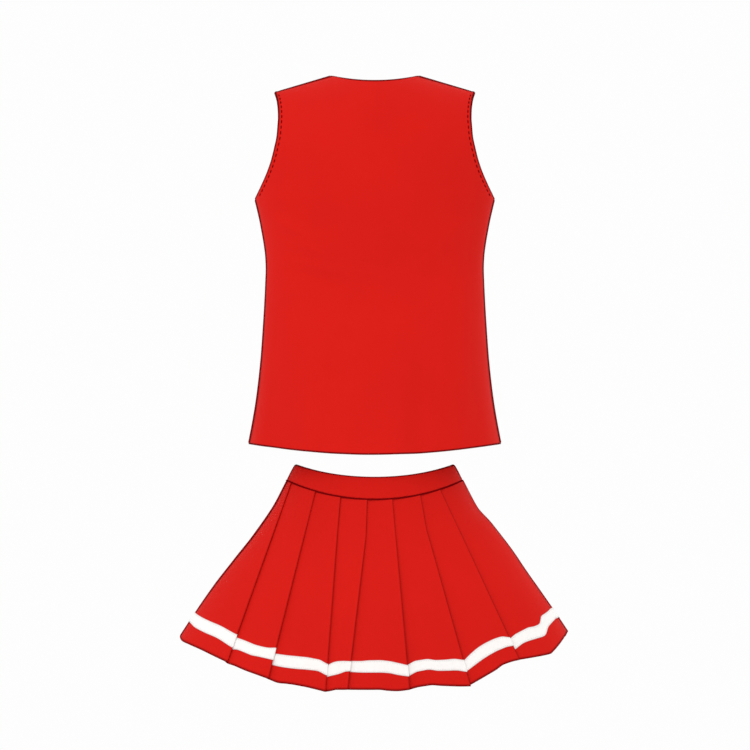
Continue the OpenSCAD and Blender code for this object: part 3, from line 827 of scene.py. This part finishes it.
# ------------------------------------------------------------------ skirt surface
# The skirt is an oval cone. A place on it is an angle in degrees (0 at the back, 90 at the
# right), a slant distance from the apex and an offset outwards.
APEX_Z = 551.6
WAIST_SIDE = 227.0          # slant distances: waist at the sides, pleat release, hem
RELEASE = 304.0
HEM = 550.0
WAIST_HALF_DEPTH = 188.0 / 2
HEM_HALF_DEPTH = 340.0 / 2
PLEATS = 16

# (slant distance, sine of the cone's half angle at the sides)
side_sine = curve([
    (200, 0.575), (WAIST_SIDE, 0.559), (254.4, 0.5497), (305.6, 0.5366), (356, 0.545),
    (410, 0.556), (460, 0.561), (510, 0.5615), (570, 0.5600)])
# (slant distance, half depth)
skirt_half_depth = curve([
    (200, WAIST_HALF_DEPTH - 3), (WAIST_SIDE, WAIST_HALF_DEPTH), (305.6, WAIST_HALF_DEPTH + 14),
    (HEM, HEM_HALF_DEPTH), (HEM + 30, HEM_HALF_DEPTH + 6)])

# angles of the folds at the release line and at the hem
FOLD_TOP = [-93, -66.5, -41.2, -21.2, -4.8, 11.9, 30.5, 50.9, 80,
            109, 135, 157, 177, 197, 218, 242, 267]
FOLD_HEM = [-95, -48.8, -32.8, -14.5, -8, 10.4, 28.9, 48.2, 80,
            113, 139, 160, 179, 198, 219, 244, 265]
# sideways shift in mm of single fold lines above the release line
FOLD_SHIFT = {3: 0.6, 4: -4.7, 6: 5.2}

# The next three tables hold a row per pleat, across its face with growing angle: evenly spaced
# values, or (share of the face, value) pairs. All values are mm of slant.
PLAIN_HEM = [-4.5, -6, -7, -6, -4.5]
PLAIN_TOP = [43, 46, 45, 43, 42]
PLAIN_LOW = [23.5, 26, 25, 23.5, 22.5]
# hem, below the nominal hem
HEM_EXTRA = [share_curve(row) for row in (
    [(0, 2), (0.11, 3), (0.33, 8.8), (0.40, 9.8), (0.54, 8.3), (0.77, 5.4), (1, 4.4)],
    [6.8, 4.8, 5.1, 4.9, 5.4],
    [6.5, 7.4, 5.0, 3.5, 3.2, 4.0, 5.5],
    [5.2, 3.7, 1.9, 0.2, -0.4, -0.9, -1.6],
    [-1.7, -2.5, -3.0, -3.2, -1.1, 0.2, -0.4],
    [-0.7, -3.1, -3.3, 0.2, 4.1, 8.2, 12.0],
    [10.4, 6.3, 2.4, -0.8, -4.1, -3.3, -1.0],
    [(0, -0.5), (0.40, 12.4), (0.45, 13.6), (0.50, 12.4), (0.98, -0.6), (1, -0.9)],
    [3, -2, -4, -4, -3],
    *[PLAIN_HEM] * 5,
    [-2, -4, -4, -2, 0],
    [0, -0.5, -1, -3, -4.6])]
# upper edge of the trim, above the nominal hem
TRIM_TOP = [share_curve(row) for row in (
    [38.8, 38.8, 38.2, 38.6, 40.3, 42.4, 41.5],
    [36.2, 37.6, 38.3, 38.2, 39.2, 40.8, 44.5],
    [35.2, 37.3, 39.6, 41.7, 43.1, 43.1, 38.3],
    [36.4, 40.5, 43.3, 45.0, 45.9, 46.3, 46.5],
    [47.0, 47.7, 49.3, 49.6, 47.9, 44.1, 39.3],
    [39.5, 44.6, 44.8, 40.7, 38.4, 36.3, 31.0],
    [28.7, 37.1, 43.2, 46.2, 47.1, 46.1, 39.8],
    [(0, 36), (0.12, 39.5), (0.3, 40), (0.42, 37), (0.52, 36), (0.58, 40), (0.66, 46),
     (0.8, 46.5), (1, 48.5)],
    [46, 47, 46, 44, 42],
    *[PLAIN_TOP] * 6,
    [43, 43, 42, 40, 39])]
# lower edge of the trim, above the nominal hem
TRIM_LOW = [share_curve(row) for row in (
    [20.1, 20.1, 19.2, 17.5, 18.7, 20.8, 18.1],
    [15.0, 18.4, 19.0, 18.9, 20.7, 22.1, 23.2],
    [14.9, 16.2, 18.0, 20.0, 22.1, 23.1, 18.5],
    [15.9, 18.2, 20.2, 22.3, 25.1, 27.8, 29.0],
    [27.9, 27.9, 28.2, 28.3, 27.1, 23.1, 19.6],
    [19.6, 25.5, 26.2, 21.9, 18.9, 15.8, 9.6],
    [9.8, 15.8, 21.2, 24.6, 26.1, 26.0, 23.6],
    [15.4, 19.4, 16.9, 14.1, 23.8, 27.3, 29.5],
    [26, 27, 26, 24, 22],
    *[PLAIN_LOW] * 6,
    [23.5, 23, 22, 20, 19])]
# small corrections to those three edges
HEM_LOWER, TRIM_TOP_LOWER, TRIM_LOW_RAISE = 1.4, 1.0, 0.5


def skirt_half_width(slant):
    return slant * side_sine(slant)


def fullness(angle, slant):
    """Offset from the plain cone: fuller below the zip, a touch slimmer on the left."""
    angle = (angle + 90) % 360 - 90
    from_right = np.abs(angle - 88)
    from_left = np.minimum(np.abs(angle + 90), np.abs(angle - 270))
    hump = smooth_step(304, 338, slant) * (1 - smooth_step(360, 455, slant))
    slim = smooth_step(300, 375, slant) * (1 - smooth_step(400, 500, slant))
    return (6.5 * np.exp(-(from_right / 20)**2) * hump
            - 2.4 * np.exp(-(from_left / 22)**2) * slim)


def skirt_point(angle, slant, offset):
    sine, cosine = np.sin(angle * DEG), np.cos(angle * DEG)
    width, depth = skirt_half_width(slant), skirt_half_depth(slant)
    normal = unit(np.stack([depth * sine, -width * cosine], -1))
    offset = offset + fullness(angle, slant)
    return np.stack([width * sine + offset * normal[..., 0],
                     -depth * cosine + offset * normal[..., 1],
                     APEX_Z - slant * np.sqrt(1 - (sine * side_sine(slant))**2)], -1)


def waist_slant(angle):
    return 208.8 + 18.2 * np.sin(angle * DEG)**2


def seam_slant(angle):
    return 243.7 + 10.7 * np.sin(angle * DEG)**2


def mm_per_degree(angle, slant):
    return DEG * np.hypot(skirt_half_width(slant) * np.cos(angle * DEG),
                          skirt_half_depth(slant) * np.sin(angle * DEG))


def fall(slant):
    """0 at the release line, 1 at the hem."""
    return (slant - RELEASE) / (HEM - RELEASE)


def fold_line(i, slant):
    """Angle of fold i. Folds 1 to 7, across the back, run straight in x."""
    slant = np.asarray(slant, float)
    if 1 <= i <= 7:
        top_x = skirt_half_width(RELEASE) * math.sin(FOLD_TOP[i] * DEG)
        hem_x = skirt_half_width(HEM) * math.sin(FOLD_HEM[i] * DEG)
        shift = FOLD_SHIFT.get(i, 0.0) * np.clip((RELEASE - slant) / 56, 0, 1)
        x = mix(top_x, hem_x, fall(slant)) + shift
        return np.arcsin(np.clip(x / skirt_half_width(slant), -1, 1)) / DEG
    return mix(FOLD_TOP[i], FOLD_HEM[i], np.maximum(fall(slant), -0.35))


# ------------------------------------------------------------------ pleats
# (slant distance, how far a pleat's face leans in at its start and out at its end)
tilt = curve([(240, 1.5), (298, 1.55), (312, 1.85), (340, 2.3), (457, 2.9), (560, 3.0)])
LAP_TOP, LAP_HEM = 14.0, 48.0       # width of the hidden layers at release line and hem
# per pleat: random swell and wave, their strength, and how dark the painted shade along the
# fold's edge is
PUFF = rng.uniform(0.75, 1.25, PLEATS)
WAVE = rng.uniform(-1, 1, (PLEATS, 3))
SWELL = [0.35, 1, 1, 0.8, 1, 1, 1, 0.35, 0.3, 1, 1, 1, 1, 1, 1, 0.3]
FOLD_SHADE = [0.3, 0.4, 0.8, 0.9, 1.0, 1.3, 1.6, 1.75, 0.4, 0.4, 0.8, 0.9, 1.0, 1.3, 1.5, 1.5]

# the layers of a pleat, in order, each with stations from 0 to 1
UNDERLAP, FACE, FOLD, RETURN = range(4)


def stations(layer, shares):
    return [(layer, t) for t in shares]


FACE_STATIONS = stations(FACE, [0.0, *np.linspace(0.02, 0.94, 22), 0.965, 0.985, 1.0])
FOLD_STATIONS = stations(FOLD, (0.14, 0.28, 0.42, 0.58, 0.72, 0.86))
PLEAT_STATIONS = (stations(UNDERLAP, np.linspace(0, 0.92, 8)) + FACE_STATIONS + FOLD_STATIONS
                  + stations(RETURN, np.linspace(0, 1, 8)))
PLEAT_ROWS = np.unique(np.round(np.concatenate([
    [0, 0.008], np.linspace(0.02, 0.16, 6), np.linspace(0.165, 0.28, 9),
    np.linspace(0.30, 0.97, 38), [0.978, 0.986, 0.9925, 0.9965, 1.0]]), 5))


def pleat_section(i, layer, t, slant):
    """Angle and offset of pleat i's right side, at share t of a layer."""
    start, end = fold_line(i, slant), fold_line(i + 1, slant)
    drop = np.maximum(fall(slant), 0)
    lean = tilt(slant)
    radius = mix(0.85, 1.05, drop)
    lap = np.maximum(mix(LAP_TOP, LAP_HEM, fall(slant)), 5.0)
    hidden = start - lap / mm_per_degree(start, slant)
    face_end = end - radius / mm_per_degree(end, slant)
    flare = SWELL[i] * drop**1.6 * (WAVE[i, 0] * 1.2 + 0.8)
    if i == PLEATS - 1:
        flare = flare - 2.2 * drop

    def leaning(angle):
        return lean * (2 * (angle - hidden) / (end - hidden) - 1)

    if layer == UNDERLAP:
        angle = mix(hidden, start, t)
        return angle, leaning(angle)
    if layer == FACE:
        angle = mix(start, face_end, t)
        arch = np.sin(math.pi * t)
        puff = SWELL[i] * PUFF[i] * 4.2 * drop**1.25 * arch**1.2
        wave = (SWELL[i] * 1.6 * drop**2 * np.sin(2 * math.pi * t + WAVE[i, 1] * 1.2) * arch)
        offset = leaning(angle) + puff + wave + flare * t**2
        if i == 8:
            # the cloth over the zip stands off it by the slider's height
            offset = offset + (1.9 * (1 - smooth_step(4.0, 11.0, np.abs(angle - 90)))
                               * (1 - smooth_step(312, 340, slant)))
        return angle, offset
    outer = leaning(face_end) + flare
    if layer == FOLD:
        turn = (90 - 180 * t) * DEG
        return (face_end + radius * np.cos(turn) / mm_per_degree(end, slant),
                outer - radius + radius * np.sin(turn))
    angle = mix(face_end, end - lap * 0.985 / mm_per_degree(end, slant), t)
    inner = -lean + np.minimum(0.65, 0.28 + drop)
    return angle, mix(outer - 2 * radius, inner, t**0.9)


def pleat_hem(i, share):
    return HEM + float(HEM_EXTRA[i](share)) + HEM_LOWER


def hidden_hem(i, layer, t, end):
    """Hem of a hidden layer: follows whatever lies over it, a little short of it."""
    angle = float(pleat_section(i, layer, t, np.array(HEM))[0])
    over = i
    if layer == UNDERLAP:
        over = (i - 1) % PLEATS
        if i == 0:
            angle += 360
    first, last = float(fold_line(over, HEM)), float(fold_line(over + 1, HEM))
    share = min(1.0, max(0.0, (angle - first) / (last - first)))
    if layer == UNDERLAP:
        weight = float(smooth_step(0.0, 0.5, 1 - t))
    else:
        weight = float(smooth_step(0.0, 0.3, t))
    return mix(end, min(pleat_hem(over, share), end) - 4.0, weight)


def pleat_grid(i, rows, start_slant, end_slant, places, short=False):
    """Right-side points and UVs; start takes (face share, angle), end takes (face share)."""
    points = np.zeros((len(places), len(rows), 3))
    uv = np.zeros((len(places), len(rows), 2))
    for k, (layer, t) in enumerate(places):
        share = {UNDERLAP: 0.0, FACE: t}.get(layer, 1.0)
        angle_near_top, _ = pleat_section(i, layer, t, np.array(250.0))
        end = end_slant(share)
        if short and layer in (UNDERLAP, RETURN):
            end = hidden_hem(i, layer, t, end)
        slant = mix(start_slant(share, float(angle_near_top)), end, rows)
        angle, offset = pleat_section(i, layer, t, slant)
        points[k] = skirt_point(angle, slant, offset)
        uv[k, :, 1] = -slant
    uv[..., 0] = run_length(points[:, len(rows) * 2 // 3])[:, None] + 130 * i
    return points, uv


joints = {joint["child"]: joint for joint in frame["joints"]}


def bend_at_release(piece, i, body):
    """Bakes the pleat's transform into its mesh. It works out the pleat's hinge axis and downward
    line but does not use them.
    """
    joint = joints[body]
    axis = np.array(joint["axis"])
    middle = 0.5 * (FOLD_TOP[i] + FOLD_TOP[i + 1])
    down = skirt_point(middle, 330.0, 0.0) - skirt_point(middle, 300.0, 0.0)
    down = unit(down - axis * (down @ axis))
    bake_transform(piece)


def build_pleat(i):
    name = "pleat_%02d" % (i + 1)
    points, uv = pleat_grid(i, PLEAT_ROWS, lambda share, angle: seam_slant(angle) + 0.4,
                            lambda share: pleat_hem(i, share), PLEAT_STATIONS, short=True)
    layer, t = np.array(PLEAT_STATIONS).T
    # painted shade in the crease along each fold and under the rim of the hem
    painted_fold_shade = np.where(layer == FOLD, np.where(t < 0.6, 0.55, 0.2), 0.0)
    painted_fold_shade += np.where((layer == FACE) & (t > 0.99), 0.35, 0.0)
    painted_hem_shade = np.where(PLEAT_ROWS > 0.9925, 1.0, np.where(PLEAT_ROWS > 0.986, 0.6, 0.0))
    edge = np.maximum(np.minimum(painted_fold_shade * FOLD_SHADE[i], 1.0)[:, None], painted_hem_shade * 0.9) * 0.85
    pleat = sheet(name + "_fold", points, outward_normals(points), 0.85, uv,
                  [RED_KNIT, WRONG_SIDE], edge)
    bend_at_release(pleat, i, "skirt_" + name)
    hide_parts(name, "yoke_back" if i < 9 else "yoke_front")


def build_trim(i):
    """White ribbon wrapped round the pleat, with a row of stitches near both edges."""
    body = "skirt_pleat_%02d" % (i + 1)
    name = "trim_%02d" % (i + 1)
    places = (stations(UNDERLAP, (0.36, 0.5, 0.65, 0.80, 0.88, 0.95))
              + FACE_STATIONS + FOLD_STATIONS)
    if i not in (0, 2, 3):
        places += stations(RETURN, (0.0, 0.08, 0.16))
    rows = np.array([0, 0.03, 0.12, 0.3, 0.5, 0.7, 0.88, 0.97, 1.0])
    points, uv = pleat_grid(i, rows,
                            lambda share, angle: HEM - float(TRIM_TOP[i](share)) + TRIM_TOP_LOWER,
                            lambda share: HEM - float(TRIM_LOW[i](share)) - TRIM_LOW_RAISE,
                            places)
    normals = outward_normals(points)
    points = points + normals * 0.62
    # painted shade along the braid's two edges, where it sits on the cloth
    edge = np.zeros(points.shape[:2])
    edge[:, [0, -1]] = 0.7
    edge[:, [1, -2]] = 0.2
    braid = sheet(name + "_braid", points, normals, 0.5, uv, [WHITE_BRAID], edge)
    hand_over(braid, body, "white_braid", name)

    on_face = [layer == FACE for layer, _ in places]
    parts = []
    for row in (2, 6):
        parts += stitch_row(points[on_face, row], normals[on_face, row], pitch=3.6, lift=0.03,
                            length=2.5, width=0.55, height=0.22, to_count=math.floor)
    hand_over(make_mesh(name + "_stitches", joined(parts), [WHITE_THREAD]), body, "white_braid")


for i in range(PLEATS):
    build_pleat(i)
for i in range(PLEATS):
    build_trim(i)

# ------------------------------------------------------------------ waistband
# outline of the folded band: (slant from the seam, offset), then (slant from the waist, offset)
BAND_LOWER = [(-0.2, 0.55), (-1.2, 1.0), (-3, 1.25), (-8, 1.35)]
BAND_UPPER = [(4, 1.3), (2, 1.2), (0.8, 0.85), (0.0, 0.1), (-0.45, -0.9), (-0.45, -1.9),
              (0.1, -2.9), (1.0, -3.5), (3, -3.75), (7, -3.8), (9.5, -3.75)]


def band_section(angle):
    """Slants and offsets from the lower outside edge over the top to the inside edge."""
    seam, waist = seam_slant(angle), waist_slant(angle)
    outline = [(seam + slant, offset) for slant, offset in BAND_LOWER]
    outline += [(mix(seam - 8, waist + 4, t), 1.35 + 0.25 * math.sin(math.pi * t))
                for t in np.linspace(0.1, 0.9, 9)]
    outline += [(waist + slant, offset) for slant, offset in BAND_UPPER]
    slants, offsets = np.array(outline).T
    ripple = 0.18 * math.sin(angle / 3.7 + 1) * np.sin(np.linspace(0, 3.1, len(outline)))
    return slants, offsets + ripple


def build_band(name, first, last):
    points = np.array([skirt_point(angle, *band_section(angle))
                       for angle in np.linspace(first, last, 150)])
    uv = np.zeros(points.shape[:2] + (2,))
    uv[..., 0] = run_length(points[:, 5])[:, None]
    uv[..., 1] = run_length(points.swapaxes(0, 1)).T
    edge = np.zeros(points.shape[:2])
    # painted shade along the fold at the band's top edge
    edge[:, 14:18] = [0.0, 0.7, 0.7, 0.35]
    band = sheet("waistband_%s_knit" % name, points, outward_normals(points), 0.9, uv,
                 [RED_KNIT], edge)
    hand_over(band, "skirt_waist", "red_double_knit", "waistband_" + name)


def waist_strip(name, counts, lower, upper, offset, thickness, facing, material):
    """Plain strip round the waist; facing is 1 for right side outwards, -1 for inwards."""
    angle, share = grid(np.linspace(94.2, 445.8, counts[0]), np.linspace(0, 1, counts[1]))
    slant = mix(lower(angle), upper(angle), share)
    points = skirt_point(angle, slant, offset)
    return sheet(name, points, facing * outward_normals(points), thickness,
                 np.stack([angle * 2.2, slant], -1), [material])


build_band("back", -89.8, 86.4)
build_band("front", 93.6, 269.8)
hand_over(waist_strip("waistband_facing_knit", counts=(240, 9),
                      lower=lambda angle: seam_slant(angle) - 0.3,
                      upper=lambda angle: waist_slant(angle) + 6.5,
                      offset=-2.35, thickness=0.75, facing=-1, material=WRONG_SIDE),
          "skirt_waist", "red_double_knit", "waistband_facing")
hand_over(waist_strip("waistband_interfacing_weave", counts=(240, 9),
                      lower=lambda angle: seam_slant(angle) - 1.5,
                      upper=lambda angle: waist_slant(angle) + 3.0,
                      offset=-0.4, thickness=0.6, facing=1, material=WHITE_TAPE),
          "skirt_waist", "white_tape", "waistband_interfacing")

# a dark cord along the seam under the band, standing in for the shade line at the seam
cord_angles = np.linspace(94.0, 446.0, 400)
cord_path = skirt_point(cord_angles, seam_slant(cord_angles) + 0.9, 1.0)
hand_over(make_mesh("waist_seam_shade_cord", tube(cord_path, radius=1.15, sides=10), [SEAM_SHADE_CORD]),
          "skirt_waist", "dark_red_thread", "waist_seam_thread")

# seam allowance inside the pleats' top edge
hand_over(waist_strip("waist_seam_allowance", counts=(200, 6),
                      lower=lambda angle: seam_slant(angle) + 13.0,
                      upper=lambda angle: seam_slant(angle) - 1.0,
                      offset=-3.0, thickness=0.8, facing=-1, material=WRONG_SIDE),
          "skirt_waist", "red_double_knit")


# ------------------------------------------------------------------ side zip
def right_side_point(slant):
    sine = float(side_sine(slant))
    return np.array([slant * sine, 0, APEX_Z - slant * math.sqrt(1 - sine**2)])


zip_top = right_side_point(WAIST_SIDE)
zip_end = right_side_point(305.6)
zip_lean = math.atan2(zip_top[2] - zip_end[2], zip_end[0] - zip_top[0])
ZIP_DOWN = np.array([math.cos(zip_lean), 0, -math.sin(zip_lean)])
ZIP_OUT = np.array([math.sin(zip_lean), 0, math.cos(zip_lean)])


def build_zip_tape(side, name):
    down, across = grid(np.linspace(5, 71.7, 60),
                        np.array([1.25, 1.6, 2.2, 3.2, 5, 7, 9, 11, 12.4, 13.0]))
    out = -4.75 - 0.018 * (across - 3)**2 + 0.04 * np.sin(down / 4.0 + across)
    points = (zip_top + down[..., None] * ZIP_DOWN + out[..., None] * ZIP_OUT
              + side * across[..., None] * np.array([0, 1.0, 0]))
    tape = sheet("zip_tape_%s_weave" % name, points, np.broadcast_to(ZIP_OUT, points.shape),
                 0.45, np.stack([down, across], -1), [RED_TAPE])
    hand_over(tape, "skirt_waist", "red_zip_tape", "zip_tape_" + name)


def paint(node, material, bevel=None):
    """Gives a frame piece its material and, with a bevel width in metres, soft edges."""
    piece = frame["nodes"][node]
    piece.data.materials.clear()
    piece.data.materials.append(material)
    if bevel:
        soft = piece.modifiers.new("soft_edges", "BEVEL")
        soft.width = bevel
        soft.segments = 2
        soft.limit_method = "ANGLE"
        soft.angle_limit = 0.6
        polygons = piece.data.polygons
        polygons.foreach_set("use_smooth", np.ones(len(polygons), bool))
        weighted = piece.modifiers.new("weighted", "WEIGHTED_NORMAL")
        weighted.keep_sharp = True


for side, name in BACK_FRONT:
    build_zip_tape(side, name)
for node in ("zip_slider", "zip_pull_tab", "zip_top_stops", "zip_bottom_stop"):
    paint(node, NICKEL, bevel=0.00018)
for node in ("waist_hook", "waist_eye"):
    paint(node, NICKEL)
paint("zip_teeth", TEETH, bevel=0.00012)

# ------------------------------------------------------------------ hanger loops
LOOP_ANGLE, LOOP_LENGTH, LOOP_WIDTH = 108.0, 60.0, 15.0
RIBBON_HALF = 2.0


def build_hanger_loop(hand, name):
    """Satin ribbon hanging inside the waist: down one leg, round the bight, up the other."""
    anchor = skirt_point(hand * LOOP_ANGLE, float(waist_slant(LOOP_ANGLE)) + 2, -5.6)
    depth = float(skirt_half_depth(WAIST_SIDE))
    width = float(skirt_half_width(WAIST_SIDE))
    turn = math.atan2(depth * math.sin(LOOP_ANGLE * DEG),
                      hand * width * math.cos(LOOP_ANGLE * DEG))
    along = np.array([math.cos(turn), math.sin(turn), 0])
    inward = np.array([-math.sin(turn), math.cos(turn), 0])
    if inward @ anchor > 0:
        inward = -inward
    radius = LOOP_WIDTH / 2 - RIBBON_HALF
    leg = LOOP_LENGTH - LOOP_WIDTH / 2
    centre = np.array(
        [(-radius, -drop) for drop in np.linspace(0, leg, 22)]
        + [(-radius * math.cos(a), -leg - radius * math.sin(a))
           for a in np.linspace(0, math.pi, 18)[1:-1]]
        + [(radius, -drop) for drop in np.linspace(leg, 0, 22)])
    tangent = unit(np.gradient(centre, axis=0))
    sideways = np.stack([tangent[:, 1], -tangent[:, 0]], 1)
    step, across = grid(np.arange(len(centre)), np.linspace(-RIBBON_HALF, RIBBON_HALF, 6))
    flat = centre[:, None] + sideways[:, None] * across[..., None]
    curl = 0.5 * np.sin(step / 9.0) + 0.10 * (across**2 - 2)
    curl = curl * np.minimum(1, -centre[:, 1] / 12)[:, None]
    points = anchor + flat[..., :1] * along + flat[..., 1:] * UP + curl[..., None] * inward
    ribbon = sheet("hanger_loop_%s_ribbon" % name, points,
                   turn_towards(grid_normals(points), inward), 0.5,
                   np.stack([across, step * 2.6], -1), [SATIN])
    hand_over(ribbon, "loop_" + name, "white_satin", "hanger_loop_" + name)


for hand, name in LEFT_RIGHT:
    build_hanger_loop(hand, name)


# ------------------------------------------------------------------ stage, light, camera
def build_floor(half=1.6):
    mesh = bpy.data.meshes.new("floor")
    mesh.from_pydata([(-half, -half, 0), (half, -half, 0), (half, half, 0), (-half, half, 0)],
                     [], [(0, 1, 2, 3)])
    floor = bpy.data.objects.new("floor", mesh)
    SCENE.collection.objects.link(floor)
    floor.location = (0, 0, -0.002)
    mesh.materials.append(Shader("pale_floor").surface({
        "Base Color": (0.93, 0.93, 0.93), "Roughness": 0.95, "Specular IOR Level": 0.0}))


def build_world():
    world = bpy.data.worlds.new("studio")
    SCENE.world = world
    world.use_nodes = True
    background = world.node_tree.nodes["Background"]
    background.inputs["Color"].default_value = (0.985, 0.985, 0.985, 1)
    background.inputs["Strength"].default_value = 1.0


def aim(thing, direction):
    thing.rotation_mode = "QUATERNION"
    thing.rotation_quaternion = Vector(direction).to_track_quat("-Z", "Y")


def area_light(name, location, size, power):
    light = bpy.data.lights.new(name, "AREA")
    light.shape = "DISK"
    light.size = size
    light.energy = power
    lamp = bpy.data.objects.new(name, light)
    SCENE.collection.objects.link(lamp)
    lamp.location = location
    aim(lamp, Vector((0, 0, 0.5)) - Vector(location))


def build_camera():
    """Very long lens, framing a 1.2 m wide view of the back."""
    view_width, aim_z = 1.2, 0.50684
    camera_x, camera_z = 0.0004, -0.0018
    lens = bpy.data.cameras.new("camera")
    lens.type = "PERSP"
    lens.sensor_width = 36.0
    lens.lens = 1200.0
    lens.clip_start = 1.0
    lens.clip_end = 200.0
    camera = bpy.data.objects.new("camera", lens)
    SCENE.collection.objects.link(camera)
    distance = view_width * lens.lens / lens.sensor_width
    camera.location = (camera_x, -distance, camera_z)
    aim(camera, (0, distance, aim_z - camera_z))
    SCENE.camera = camera


build_floor()
build_world()
area_light("key", location=(-1.6, -3.0, 2.6), size=2.0, power=26)
area_light("rim", location=(2.4, 2.6, 2.2), size=1.6, power=18)
build_camera()
SCENE.view_settings.view_transform = "Standard"
SCENE.view_settings.look = "None"
SCENE.view_settings.exposure = 0.0
SCENE.view_settings.gamma = 1.0
